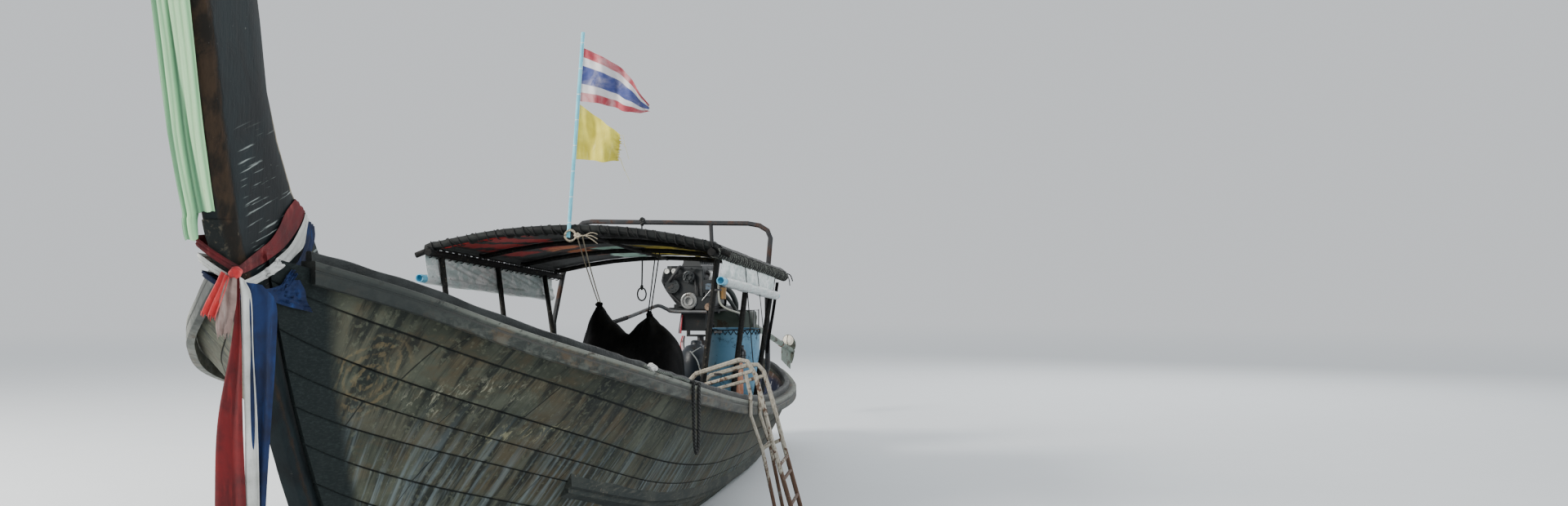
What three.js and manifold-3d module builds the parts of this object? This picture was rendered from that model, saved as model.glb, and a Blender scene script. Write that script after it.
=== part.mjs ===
// Longtail boat, afloat: a planked wooden hull with a tall prow, an arched canopy,
// and a swivelling inboard car engine that drives a propeller on a long raised tube.
// Millimetres. +X points to the bow, +Y to port, +Z up; z = 0 is the water's surface.
import * as THREE from 'three';
import Module from 'manifold-3d';

const wasm = await Module();
wasm.setup();

// Driving dimensions.
const GAP = 0.3;                 // clearance between pieces that touch
const PLANK = 24;                // hull plank thickness
const RIB = 45;                  // depth of a rib
const KEEL_HALF = 45;            // half width of the keel
const CAP_OVERHANG = 40;         // the gunwale's outer edge beyond the planks
const CAP_THICK = 28;            // gunwale thickness
const CAP_INBOARD = 66;          // gunwale width inboard of the planks' outside
const RUB_DEPTH = 62;            // depth of the rubbing strake below the planks' top
const COAMING_WIDE = 44;
const COAMING_TALL = 48;
const THWART_Z = 400;            // underside of the thwarts
const THWART_THICK = 30;
const FLOOR_Z = -198;
const AFT_DECK_Z = 430;
const AFT_DECK_THICK = 26;
const FOREDECK_Z = 1050;
const POST_R = 20;               // canopy posts
const EAVE_R = 24;
const EAVE_HALF = 925;           // half width of the canopy at its eaves
const PIVOT = { x: -3750, z: 1120 };     // engine: swivel axis x, tilt axis height
const SWING = 4.63;              // degrees that the engine stands turned at rest
const TAIL_DROP = 11.53;         // degrees that the tail slopes down aft at rest
const TAIL_Z = 1451;             // height of the tail's axis above the swivel axis
const PROP_DISTANCE = 3640;      // from the swivel axis to the propeller, level

// Hull sections, bow to stern. The gunwale's outer top edge (railX, railY, railZ), the
// keel's edge (keelX, keelZ), and the two guide points that shape the side between them.
const STATIONS = [
  // railX, railY, railZ, keelX, keelZ, y1, z1, y2, z2
  [4760, 116, 1760, 3400, -230, 76, 250, 76, 950],
  [4240, 480, 1590, 3050, -270, 95, 120, 230, 1000],
  [3770, 785, 1412, 2750, -295, 150, 30, 440, 985],
  [3000, 1055, 1222, 2200, -320, 330, -70, 690, 780],
  [1700, 1160, 1004, 1250, -345, 470, -230, 800, 440],
  [300, 1138, 826, 150, -355, 520, -300, 760, 230],
  [-1100, 1060, 695, -1100, -355, 520, -325, 700, 120],
  [-2300, 980, 629, -2200, -345, 480, -320, 670, 70],
  [-3300, 910, 604, -3100, -325, 430, -300, 620, 50],
  [-4000, 815, 620, -3700, -300, 360, -275, 560, 60],
  [-4550, 620, 700, -4150, -270, 240, -235, 430, 90],
  [-4820, 370, 775, -4380, -245, 140, -200, 270, 130],
  [-4925, 116, 815, -4480, -230, 76, -190, 76, 170],
];
const STEPS = [2, 2, 3, 2, 2, 2, 2, 2, 2, 2, 2, 2];   // spans between stations
const STEM = [
  // z, front, start of the flat side, back, half thickness
  [3100, 5440, 5400, 4985, 86],
  [2850, 5340, 5305, 4900, 86],
  [2610, 5266, 5240, 4828, 83],
  [2350, 5200, 5162, 4758, 76],
  [2165, 5150, 5099, 4655, 69],
  [1977, 5096, 5020, 4515, 61],
  [1812, 5040, 4935, 4312, 54],
  [1720, 4980, 4890, 4230, 50],
  [1450, 4800, 4725, 4120, 50],
  [1150, 4618, 4545, 4060, 50],
  [850, 4446, 4370, 3960, 50],
  [400, 4150, 4090, 3700, 50],
  [50, 3850, 3800, 3420, 50],
  [-260, 3480, 3430, 3150, 50],
];
const BANDS = [
  // name, from, to (fractions of the girth from keel to rail), spans
  ['bottom_planking', 0, 0.42, 3],
  ['side_planking', 0.42, 0.8, 3],
  ['sheer_planking', 0.8, 1, 2],
];
const RIB_X = [2500, 1750, 775, -325, -1475, -2330, -3350, -4050];
const THWART_X = [2300, 1250, 250, -900, -2050, -2600];
const POSTS = [
  // x, eave height there
  [250, 1752],
  [-900, 1679],
  [-2050, 1606],
];
const CANOPY = { front: 430, rear: -2430, frontZ: 1764, rearZ: 1582, rise: 108 };
const BOW_R = 20;                // the canopy's arched bows

// Small geometry kit.
const V = (x, y, z) => new THREE.Vector3(x, y, z);

function volume(points, faces) {
  let total = 0;
  for (const [a, b, c] of faces) total += points[a].dot(points[b].clone().cross(points[c]));
  return total / 6;
}

function solid(points, faces) {
  const turned = volume(points, faces) < 0 ? faces.map(([a, b, c]) => [a, c, b]) : faces;
  const geometry = new THREE.BufferGeometry();
  const flat = new Float32Array(points.flatMap((p) => [p.x, p.y, p.z]));
  geometry.setAttribute('position', new THREE.BufferAttribute(flat, 3));
  geometry.setIndex(turned.flat());
  return geometry;
}

function capFaces(ring, start, reverse) {
  const n = ring.length;
  const normal = V(0, 0, 0);
  for (let i = 0; i < n; i++) normal.add(ring[i].clone().cross(ring[(i + 1) % n]));
  const ax = Math.abs(normal.x);
  const ay = Math.abs(normal.y);
  const az = Math.abs(normal.z);
  let flat;
  if (ax >= ay && ax >= az) flat = ring.map((p) => new THREE.Vector2(p.y, p.z));
  else if (ay >= az) flat = ring.map((p) => new THREE.Vector2(p.z, p.x));
  else flat = ring.map((p) => new THREE.Vector2(p.x, p.y));
  const clockwise = THREE.ShapeUtils.area(flat) < 0;
  const order = flat.map((_, i) => (clockwise ? n - 1 - i : i));
  const faces = THREE.ShapeUtils.triangulateShape(order.map((i) => flat[i]), []);
  return faces.map(([a, b, c]) => {
    const f = [order[a] + start, order[b] + start, order[c] + start];
    return clockwise !== reverse ? [f[0], f[2], f[1]] : f;
  });
}

// A closed solid through rings of equal length.
function loft(rings) {
  const n = rings[0].length;
  const points = rings.flat();
  const faces = [];
  for (let r = 0; r + 1 < rings.length; r++) {
    for (let i = 0; i < n; i++) {
      const a = r * n + i;
      const b = r * n + ((i + 1) % n);
      faces.push([a, b, b + n], [a, b + n, a + n]);
    }
  }
  const last = rings.length - 1;
  for (const [ring, start, reverse] of [[rings[0], 0, true], [rings[last], last * n, false]]) {
    const flat = capFaces(ring, start, reverse);
    if (flat.length === n - 2) {
      faces.push(...flat);
      continue;
    }
    const middle = ring.reduce((sum, q) => sum.add(q), V(0, 0, 0)).divideScalar(n);
    ring.forEach((_, i) => {
      const [a, b] = [start + i, start + ((i + 1) % n)];
      faces.push(reverse ? [b, a, points.length] : [a, b, points.length]);
    });
    points.push(middle);
  }
  return solid(points, faces);
}

function box(x0, x1, y0, y1, z0, z1) {
  const ring = (z) => [V(x0, y0, z), V(x1, y0, z), V(x1, y1, z), V(x0, y1, z)];
  return loft([ring(z0), ring(z1)]);
}

// A round bar along a path, with closed ends.
function bar(path, radius, sides = 10, up = null) {
  const rings = [];
  const directions = path.map((p, i) => {
    const before = path[Math.max(i - 1, 0)];
    const after = path[Math.min(i + 1, path.length - 1)];
    return after.clone().sub(before).normalize();
  });
  let side = up ? up.clone() : Math.abs(directions[0].z) < 0.9 ? V(0, 0, 1) : V(1, 0, 0);
  path.forEach((p, i) => {
    const d = directions[i];
    side = side.clone().addScaledVector(d, -side.dot(d)).normalize();
    const other = d.clone().cross(side);
    const r = Array.isArray(radius) ? radius[i] : radius;
    rings.push(Array.from({ length: sides }, (_, k) => {
      const angle = (2 * Math.PI * (k + 0.5)) / sides;
      return p.clone().addScaledVector(side, r * Math.cos(angle))
        .addScaledVector(other, r * Math.sin(angle));
    }));
  });
  return loft(rings);
}

const round = (x, y, r, z, sides = 20) => Array.from({ length: sides }, (_, k) => {
  const angle = (2 * Math.PI * k) / sides;
  return V(x + r * Math.cos(angle), y + r * Math.sin(angle), z);
});
function manifold(geometry) {
  const vertProperties = geometry.getAttribute('position').array;
  const triVerts = new Uint32Array(geometry.getIndex().array);
  return new wasm.Manifold(new wasm.Mesh({ numProp: 3, vertProperties, triVerts }));
}

function geometryOf(shape) {
  const mesh = shape.getMesh();
  const geometry = new THREE.BufferGeometry();
  geometry.setAttribute('position', new THREE.BufferAttribute(Float32Array.from(mesh.vertProperties), 3));
  geometry.setIndex(Array.from(mesh.triVerts));
  return geometry;
}

function join(parts) {
  return geometryOf(parts.map(manifold).reduce((sum, part) => sum.add(part)));
}

function cut(body, tools) {
  return geometryOf(tools.map(manifold).reduce((rest, tool) => rest.subtract(tool), manifold(body)));
}

const group = new THREE.Group();
group.name = 'longtail_boat';
const FINISH = {
  wood_dark: [0x2c3430, 0.8, 0],
  wood: [0x6b665a, 0.85, 0],
  wood_pale: [0x8d8a80, 0.85, 0],
  paint_dark: [0x1d2a30, 0.7, 0],
  iron: [0x3a3d3d, 0.6, 0.7],
  rust: [0x6a4433, 0.8, 0.3],
  white_paint: [0xd8d6cc, 0.6, 0],
  canvas: [0x23292a, 0.9, 0],
  curtain: [0xb9c2c2, 0.6, 0],
  blue_plastic: [0x3f7fae, 0.5, 0],
  pale_blue: [0x8fd4e6, 0.5, 0],
  red: [0xa82530, 0.85, 0],
  mint: [0xb5dcb4, 0.85, 0],
  yellow: [0xe0c440, 0.85, 0],
  bronze: [0x5d6a4d, 0.5, 0.8],
  cream: [0xd9d3ba, 0.7, 0],
  rope: [0xc9c2ad, 0.9, 0],
};

function add(name, geometry, finish) {
  const [color, roughness, metalness] = FINISH[finish];
  geometry.computeVertexNormals();
  const mesh = new THREE.Mesh(geometry, new THREE.MeshStandardMaterial({ color, roughness, metalness }));
  mesh.name = name;
  mesh.material.name = finish;
  group.add(mesh);
  return mesh;
}

// Hull surface.
function stationAt(w) {
  const last = STATIONS.length - 1;
  const i = Math.min(Math.floor(w), last - 1);
  const f = w - i;
  const row = (k) => STATIONS[Math.min(Math.max(k, 0), last)];
  return row(i).map((p1, c) => {
    const p2 = row(i + 1)[c];
    const p0 = i > 0 ? row(i - 1)[c] : 2 * p1 - p2;
    const p3 = i + 2 <= last ? row(i + 2)[c] : 2 * p2 - p1;
    return 0.5 * (2 * p1 + (p2 - p0) * f + (2 * p0 - 5 * p1 + 4 * p2 - p3) * f * f
      + (3 * p1 - p0 - 3 * p2 + p3) * f * f * f);
  });
}

// Port side outside surface; w runs along the stations, t from keel (0) to rail (1).
function skin(w, t) {
  const [railX, railY, railZ, keelX, keelZ, y1, z1, y2, z2] = stationAt(w);
  const u = 1 - t;
  const k = [u * u * u, 3 * t * u * u, 3 * t * t * u, t * t * t];
  const x1 = keelX + 0.41 * (railX - keelX);
  const x2 = keelX + 0.84 * (railX - keelX);
  return V(
    k[0] * keelX + k[1] * x1 + k[2] * x2 + k[3] * railX,
    k[0] * KEEL_HALF + k[1] * y1 + k[2] * y2 + k[3] * (railY - CAP_OVERHANG),
    k[0] * keelZ + k[1] * z1 + k[2] * z2 + k[3] * (railZ - CAP_THICK),
  );
}

const END = STATIONS.length - 1;
function skinNormal(w, t) {
  const e = 0.02;
  const alongW = skin(Math.min(w + e, END), t).sub(skin(Math.max(w - e, 0), t));
  const alongT = skin(w, Math.min(t + e, 1)).sub(skin(w, Math.max(t - e, 0)));
  const normal = alongT.cross(alongW).normalize();
  return normal.y < 0 ? normal.negate() : normal;
}

// The hull's side moved inboard by a depth, kept off the stem and the keel.
function inside(w, t, depth) {
  const p = skin(w, t).addScaledVector(skinNormal(w, t), -depth);
  const limit = t < 0.02 || w < 1.2 || w > END - 1.2 ? 50.5 : 45.3;
  p.y = Math.max(p.y, t < 0.25 && w > 1.2 && w < END - 1.2 ? 45.3 : limit);
  p.z = Math.min(p.z, skin(w, 1).z);
  return p;
}

const mirror = (p, side) => V(p.x, p.y * side, p.z);
const RAIL_START = 0.16;
const WS = STEPS.flatMap((n, i) => Array.from({ length: n }, (_, k) => i + k / n))
  .concat(RAIL_START, END).sort((a, b) => a - b);

function girths(from, to, spans) {
  const seam = 0.0006;
  const low = from === 0 ? 0 : from + seam;
  const high = to === 1 ? 1 : to - seam;
  return Array.from({ length: spans + 1 }, (_, k) => low + ((high - low) * k) / spans);
}

function plankBand(ts, side, from = 0, depth = PLANK) {
  const rings = WS.map((w) => {
    const outer = ts.map((t) => inside(w, t, from));
    const inner = ts.map((t) => inside(w, t, depth)).reverse();
    return [...outer, ...inner].map((p) => mirror(p, side));
  });
  return loft(rings);
}

for (const [name, from, to, spans] of BANDS) {
  for (const [label, side] of [['port', 1], ['starboard', -1]]) {
    add(`${name}_${label}`, plankBand(girths(from, to, spans), side), 'wood');
  }
}

const ALL_GIRTHS = BANDS.flatMap(([, from, to, spans]) => girths(from, to, spans)).reverse();
// Where the line of one girth, moved in by a depth, crosses a plane x.
function crossing(x, t, depth) {
  const line = WS.map((w) => inside(w, t, depth));
  const i = Math.min(Math.max(line.findIndex((p) => p.x <= x), 1), line.length - 1);
  const [a, b] = [line[i - 1], line[i]];
  return a.clone().lerp(b, (x - a.x) / (b.x - a.x)).setX(x);
}
const GIRTHS = ALL_GIRTHS.filter((t, i) => i === 0 || ALL_GIRTHS[i - 1] - t > 0.01).reverse();
const section = (x, depth) => GIRTHS.map((t) => crossing(x, t, depth));
const INSIDE = PLANK + GAP + 0.3;
const FRAME_FACE = PLANK + RIB;
const CLEAR = PLANK + RIB + 0.8;

function halfBreadth(x, z, depth) {
  const points = section(x, depth);
  const i = points.findIndex((p) => p.z > z);
  if (i <= 0) return points[points.length - 1].y;
  const [a, b] = [points[i - 1], points[i]];
  return a.y + ((b.y - a.y) * (z - a.z)) / (b.z - a.z);
}

// Keel, stem and stern.
add('stem_post', loft(STEM.map(([z, front, side, back, half]) => [
  V(front, half * 0.5, z), V(side, half, z), V(back, half, z),
  V(back, -half, z), V(side, -half, z), V(front, -half * 0.5, z),
])), 'paint_dark');

const keelRows = WS.filter((w) => w >= 0.9 && w <= END - 0.01);
const keelBar = (half, top) => loft(keelRows.map((w) => {
  const p = skin(w, 0);
  return [V(p.x, half, p.z + top), V(p.x, -half, p.z + top), V(p.x, -half, p.z - 60),
    V(p.x, half, p.z - 60)];
}));
add('keel', keelBar(KEEL_HALF - 0.4, 20), 'wood_dark');

function sternAt(z) {
  let low = 0;
  let high = 1;
  for (let i = 0; i < 30; i++) {
    const middle = (low + high) / 2;
    if (skin(END, middle).z < z) low = middle;
    else high = middle;
  }
  return skin(END, low).x;
}
const sternFoot = skin(END, 0).z + 20 + GAP;
add('stern_post', loft([sternFoot, -100, 0, 200, 400, 600, 740].map((z) => {
  const x = sternAt(z);
  return [V(x + 60, 50, z), V(x + 60, -50, z), V(x - 55, -28, z), V(x - 55, 28, z)];
})), 'wood_dark');

// Rails.
function railFrame(w) {
  const e = 0.03;
  const p = skin(w, 1);
  const d = skin(Math.min(w + e, END), 1).sub(skin(Math.max(w - e, 0), 1));
  const out = V(d.y, -d.x, 0).normalize();
  return { p, out: out.y < 0 && w < END - 2 ? out.negate() : out };
}

function alongRail(profile, side, from, to) {
  const rows = [from, ...WS.filter((w) => w > from + 0.05 && w < to - 0.1), to];
  return loft(rows.map((w) => {
    const { p, out } = railFrame(w);
    return profile.map(([o, u]) => {
      const q = o === UNDER ? inside(w, 1, PLANK) : p.clone().addScaledVector(out, o);
      return mirror(V(q.x, Math.max(q.y, 51), p.z + u), side);
    });
  }));
}

const UNDER = 'plank edge';
const CAP = [[-CAP_INBOARD, GAP], [-CAP_INBOARD, CAP_THICK], [COAMING_WIDE - CAP_INBOARD, CAP_THICK],
  [CAP_OVERHANG, CAP_THICK],
  [CAP_OVERHANG, -RUB_DEPTH], [5, -RUB_DEPTH], [5, GAP], [0, GAP], [UNDER, GAP]];
const COAMING = [[-CAP_INBOARD, CAP_THICK + GAP], [COAMING_WIDE - CAP_INBOARD, CAP_THICK + GAP],
  [COAMING_WIDE - CAP_INBOARD, CAP_THICK + COAMING_TALL], [-CAP_INBOARD, CAP_THICK + COAMING_TALL]];
for (const [label, side] of [['port', 1], ['starboard', -1]]) {
  add(`gunwale_${label}`, alongRail(CAP, side, RAIL_START, END - 0.02), 'wood_pale');
  add(`coaming_${label}`, alongRail(COAMING, side, 0.25, END - 1.4), 'paint_dark');
  const rows = WS.filter((w) => w >= 2.9 && w <= END - 1.6);
  add(`bilge_strake_${label}`, loft(rows.map((w) => [0.6, 0.625, 0.635, 0.645, 0.67].map((t, k) => {
    const out = [1.7, 34, 22, 34, 1.7][k];
    return mirror(skin(w, t).addScaledVector(skinNormal(w, t), out), side);
  })), ), 'wood_pale');
}

// Inside of the hull.
// What the planks take up, with the clearance that pieces resting on them keep.
const plankRoom = [1, -1].map((side) => plankBand([...ALL_GIRTHS].reverse(), side, PLANK - 12, PLANK + GAP));
const keelTop = (x) => crossing(x, 0, 0).z + 20 + GAP;
const bothSides = (half) => [...half, ...half.map((p) => V(p.x, -p.y, p.z)).reverse()];
function rib(x) {
  const ring = (at) => {
    const cutTop = (list) => {
      const top = list[list.length - 1].z - 45;
      return list.filter((p) => p.z < top - 10).concat(V(at, halfBreadth(at, top, list.depth), top));
    };
    const outer = Object.assign(section(at, PLANK - 6), { depth: PLANK - 6 });
    const inner = Object.assign(section(at, FRAME_FACE), { depth: FRAME_FACE });
    outer[0].z = Math.max(outer[0].z, keelTop(at));
    inner[0].z = Math.max(inner[0].z, outer[0].z + 30);
    outer[0].y = Math.min(outer[0].y, 44.5);
    const [o, n] = [cutTop(outer), cutTop(inner)];
    return [...[...o].reverse(), ...o.map((p) => V(p.x, -p.y, p.z)),
      ...n.map((p) => V(p.x, -p.y, p.z)).reverse(), ...n];
  };
  return loft([ring(x + 20), ring(x - 20)]);
}
const spread = (a, b, n) => Array.from({ length: n + 1 }, (_, k) => a + ((b - a) * k) / n);
const keelson = loft(spread(2600, -4150, 9).map((x) => {
  const z = keelTop(x);
  return [V(x, 44, z), V(x, -44, z), V(x, -44, z + 62), V(x, 44, z + 62)];
}));
add('frames', cut(join([...RIB_X.map(rib), keelson]), plankRoom), 'wood_dark');

function plate(xs, z, thick, depth) {
  const half = xs.map((x) => V(x, halfBreadth(x, z, depth), z));
  return loft([bothSides(half), bothSides(half).map((p) => V(p.x, p.y, z + thick))]);
}
add('floorboards', plate(spread(1690, -2780, 9), FLOOR_Z, 22, CLEAR), 'wood');
add('foredeck', cut(plate(spread(3850, 2750, 4), FOREDECK_Z, 24, INSIDE), plankRoom), 'wood');
const AFT_ROWS = [...spread(-2860, -4000, 4), -4250, -4400, -4500, -4580];
add('aft_deck', plate(AFT_ROWS, AFT_DECK_Z, AFT_DECK_THICK, CLEAR), 'wood_dark');

function bulkhead(x0, x1, top) {
  const ring = (x) => {
    const low = section(x, INSIDE).filter((p) => p.z < top - 5);
    low[0].z = Math.max(low[0].z, keelTop(x));
    return bothSides([V(x, halfBreadth(x, top, INSIDE), top), ...low.reverse()]);
  };
  return loft([ring(x0), ring(x1)]);
}
add('aft_bulkhead', cut(bulkhead(-2880, -2900, AFT_DECK_Z - GAP),
  [box(-2950, -2830, -45, 45, -500, keelTop(-2890) + 66)]), 'wood');

const riser = (side) => loft(spread(2450, -2760, 8).map((x) => {
  const y = halfBreadth(x, THWART_Z - 60, CLEAR);
  return [[y, -60], [y, 4], [y - 32, 4], [y - 32, -60]].map(([q, up]) => V(x, q * side, THWART_Z + up));
}));
const thwart = (x) => plate([x + 115, x - 115], THWART_Z, THWART_THICK, CLEAR);
add('thwarts', join([riser(1), riser(-1), ...THWART_X.map(thwart)]), 'wood');

// Canopy.
const THWART_TOP = THWART_Z + THWART_THICK + GAP;
const eaveZ = (x) => CANOPY.frontZ + ((CANOPY.rearZ - CANOPY.frontZ) * (x - CANOPY.front))
  / (CANOPY.rear - CANOPY.front);
// A round post between two points with level ends.
const post = (a, b, r, sides = 8) => loft([round(a.x, a.y, r, a.z, sides), round(b.x, b.y, r, b.z, sides)]);
function canopySide(side) {
  const eave = bar([CANOPY.front + 60, CANOPY.rear - 60].map((x) => V(x, side * EAVE_HALF, eaveZ(x))),
    EAVE_R, 8);
  const posts = POSTS.map(([x]) => {
    const foot = halfBreadth(x, THWART_TOP, CLEAR) - 34;
    return post(V(x, side * foot, THWART_TOP), V(x, side * (EAVE_HALF - 2), eaveZ(x)), POST_R);
  });
  return join([eave, ...posts]);
}
add('canopy_side_port', canopySide(1), 'wood_dark');
add('canopy_side_starboard', canopySide(-1), 'wood_dark');

// Height of the bows' middle line over the eaves' line at offset y; level over the eaves.
const BOW_END = 905;
const bowFoot = EAVE_R * Math.cos(Math.PI / 8) + BOW_R * Math.cos(Math.PI / 6) + 1.1;
const arch = (y) => bowFoot + CANOPY.rise * Math.max(1 - (y / BOW_END) ** 2, 0);
const ARCH_Y = [-937, ...spread(-1, 1, 8).map((f) => f * BOW_END), 937];
const BOW_X = [416, -550, -1500, -2400];
const bow = (x) => bar(ARCH_Y.map((y) => V(x, y, eaveZ(x) + arch(y))), BOW_R, 6, V(0, 0, 1));
const ridge = bar([400, CANOPY.rear + 20].map((x) => V(x, 0, eaveZ(x) + arch(0) - 10)), 12, 6);
add('canopy_bows', join([...BOW_X.map(bow), ridge]), 'wood_dark');

const COVER_THICK = 12;
const COVER_DROP = 34;           // how far the cover's hem hangs below the bows' ends
function coverRing(x) {
  const slope = (y) => (Math.abs(y) > BOW_END ? 0 : (2 * CANOPY.rise * y) / BOW_END ** 2);
  const over = (y) => BOW_R * Math.cos(Math.PI / 6) * Math.hypot(1, slope(y)) + 1;
  const base = (y) => eaveZ(x) + arch(y) + over(y);
  const low = [V(x, -968, base(968) - COVER_DROP), ...ARCH_Y.map((y) => V(x, y, base(y))),
    V(x, 968, base(968) - COVER_DROP)];
  const out = (p) => V(p.x, p.y + (Math.abs(p.y) > 960 ? Math.sign(p.y) * COVER_THICK * 0.7 : 0),
    p.z + COVER_THICK * (Math.abs(p.y) > 960 ? 0.5 : 1));
  return [...low, ...low.map(out).reverse()];
}
const COVER_ROWS = [CANOPY.front, ...spread(300, -2350, 5), CANOPY.rear - 25];
add('canopy_cover', loft(COVER_ROWS.map(coverRing)), 'canvas');

const CURTAIN_Y = EAVE_HALF + EAVE_R * Math.cos(Math.PI / 8) + GAP;
const CURTAIN_PIPE_R = 27;
function curtain(side, x0, x1) {
  const ring = (x) => {
    const top = eaveZ(x) + 5;
    return [V(x, CURTAIN_Y, top), V(x, CURTAIN_Y + 10, top), V(x, CURTAIN_Y + 14, top - 90),
      V(x, CURTAIN_Y + 12, top - 150), V(x, CURTAIN_Y + 2, top - 150), V(x, CURTAIN_Y + 2, top - 90)]
      .map((p) => mirror(p, side));
  };
  return loft(spread(x0, x1, 6).map(ring));
}
function curtainPipe(side, x0, x1) {
  const drop = 145 + GAP + 0.1 + CURTAIN_PIPE_R * Math.cos(Math.PI / 10);
  const line = [x0, x1].map((x) => V(x, side * (CURTAIN_Y + 8), eaveZ(x) - drop));
  return bar(line, CURTAIN_PIPE_R, 10, V(0, 0, 1));
}
add('side_curtain_port', curtain(1, 220, -1950), 'curtain');
add('side_curtain_starboard', curtain(-1, 480, -2330), 'curtain');
add('curtain_pipe_port', curtainPipe(1, 330, -2000), 'pale_blue');
add('curtain_pipe_starboard', curtainPipe(-1, 560, -2360), 'pale_blue');

// Roof rail, flag pole and flags.
const RAIL_X = -2520;
const RAIL_R = 21;
const legFoot = halfBreadth(RAIL_X, THWART_TOP, CLEAR) - 30;
// The gunwale's top at x: its outer edge, the middle of its outer ledge, and its height.
function capAt(x) {
  const at = (offset) => {
    const line = WS.map((w) => {
      const { p, out } = railFrame(w);
      return p.addScaledVector(out, offset);
    });
    const i = line.findIndex((p) => p.x <= x);
    return line[i - 1].clone().lerp(line[i], (x - line[i - 1].x) / (line[i].x - line[i - 1].x));
  };
  const edge = at(CAP_OVERHANG);
  return { y: edge.y, middle: at(9).y, z: edge.z + CAP_THICK };
}
const sideFoot = capAt(RAIL_X);
const footZ = capAt(RAIL_X + RAIL_R).z + GAP;
const railLine = [[-sideFoot.middle, footZ], [-sideFoot.middle, footZ + 40], [-970, 900], [-985, 1200],
  [-905, 1600], [-785, 1975], [-735, 2020], [-660, 2031], [640, 2012], [735, 1995], [800, 1955], [825, 1895],
  [796, 1545], [802, 850], [legFoot, THWART_TOP + 160], [legFoot, THWART_TOP]];
const stub = bar([V(RAIL_X, 333, 2035), V(RAIL_X, 345, 1800)], 17, 8);
add('roof_rail', join([bar(railLine.map(([y, z]) => V(RAIL_X, y, z)), RAIL_R, 8, V(1, 0, 0)), stub]), 'iron');

const POLE_R = 12;
const FLAT = Math.cos(Math.PI / 8);     // from an eight-sided bar's radius to its flats
const poleX = BOW_X[0] + BOW_R + GAP + POLE_R * FLAT;
const poleFoot = V(poleX, -7, 1860);
const poleTop = V(poleX, 91, 3165);
add('flag_pole', bar([poleFoot, poleTop], POLE_R, 8), 'pale_blue');

function flag(hoistTop, hoistLow, out, droop) {
  const along = poleTop.clone().sub(poleFoot).normalize();
  const at = (z) => poleFoot.clone().addScaledVector(along, (z - poleFoot.z) / along.z);
  const rings = out.map(([dy, dx], k) => {
    const a = at(hoistTop).add(V(dx, POLE_R * FLAT + GAP + dy, -droop[k][0]));
    const b = at(hoistLow).add(V(dx, POLE_R * FLAT + GAP + dy, -droop[k][1]));
    return [V(a.x - 4, a.y, a.z), V(a.x + 4, a.y, a.z), V(b.x + 4, b.y, b.z), V(b.x - 4, b.y, b.z)];
  });
  return loft(rings);
}
add('flag_striped', flag(3063, 2726, [[0, 0], [110, 24], [220, -18], [320, 20], [445, 0]],
  [[0, 0], [50, 15], [110, 40], [195, 75], [370, 75]]), 'red');
add('flag_plain', flag(2706, 2358, [[0, 0], [90, -20], [180, 16], [275, 0]],
  [[0, 0], [65, -5], [125, -20], [195, -10]]), 'yellow');

// Cloths on the prow.
const stemAt = (z) => {
  for (let i = 0; i + 1 < STEM.length; i++) {
    const [a, b] = [STEM[i], STEM[i + 1]];
    if (z <= a[0] && z >= b[0]) {
      const f = (z - b[0]) / (a[0] - b[0]);
      const [, front, side, back, half] = a.map((v, c) => b[c] + (v - b[c]) * f);
      return { front, side, back, half };
    }
  }
  throw new Error('no stem at this height');
};
const stemRoom = loft(STEM.slice(2, 12).map(([z, front, side, back, half]) => {
  const h = half + GAP;
  return [V(front + GAP, half * 0.5 + GAP, z), V(side + GAP, h, z), V(back - GAP, h, z),
    V(back - GAP, -h, z), V(side + GAP, -h, z), V(front + GAP, -half * 0.5 - GAP, z)];
}));
const SASH_RISE = 0.33;
const SASH_LOW = 1688;
const SASH_HIGH = 1775;
const SASH_BACK = 4300;
const wrap = loft([SASH_LOW, SASH_HIGH].map((z0) => {
  const { front, side, half } = stemAt(z0);
  const h = half + 14;
  const up = (x) => z0 + (front - x) * SASH_RISE;
  const line = [[front + 14, h * 0.5], [side + 10, h], [SASH_BACK, h], [SASH_BACK, -h], [side + 10, -h],
    [front + 14, -h * 0.5]];
  return line.map(([x, y]) => V(x, y, up(x)));
}));
const KNOT_X = stemAt(1670).front + 22;
const KNOT_Y = 50;
const TAILS = [
  // edges at the knot, edges at mid height, edges at the foot, foot height
  [20, 48, -5, 80, 0, 112, 640],
  [50, 66, 84, 128, 114, 166, 600],
  [68, 92, 135, 245, 168, 214, 620],
];
const tailPlates = TAILS.map(([a0, b0, a1, b1, a2, b2, foot], i) => {
  const x = KNOT_X + 4 * i;
  return loft([[a0, b0, 1680], [a1, b1, 1480], [a2, b2, foot]].map(([ya, yb, z]) => [
    V(x - 6, ya, z), V(x + 6, ya, z), V(x + 6, yb, z), V(x - 6, yb, z)]));
});
const knot = box(KNOT_X - 50, KNOT_X + 28, KNOT_Y - 45, KNOT_Y + 45, 1650, 1705);
add('stem_sash', cut(join([wrap, knot, ...tailPlates]), [stemRoom]), 'red');

const PROW_CLOTH = [
  // z, starboard edge, port edge
  [3000, -98, 52],
  [2850, -100, 50],
  [2610, -102, 46],
  [2350, -106, 40],
  [2165, -106, 36],
  [1977, -95, 35],
  [1850, -80, 20],
];
add('prow_cloth', loft(PROW_CLOTH.map(([z, ya, yb]) => {
  const front = stemAt(z).front + GAP + 0.1;
  return [V(front, ya, z), V(front + 12, ya, z), V(front + 12, yb, z), V(front, yb, z)];
})), 'mint');

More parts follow.
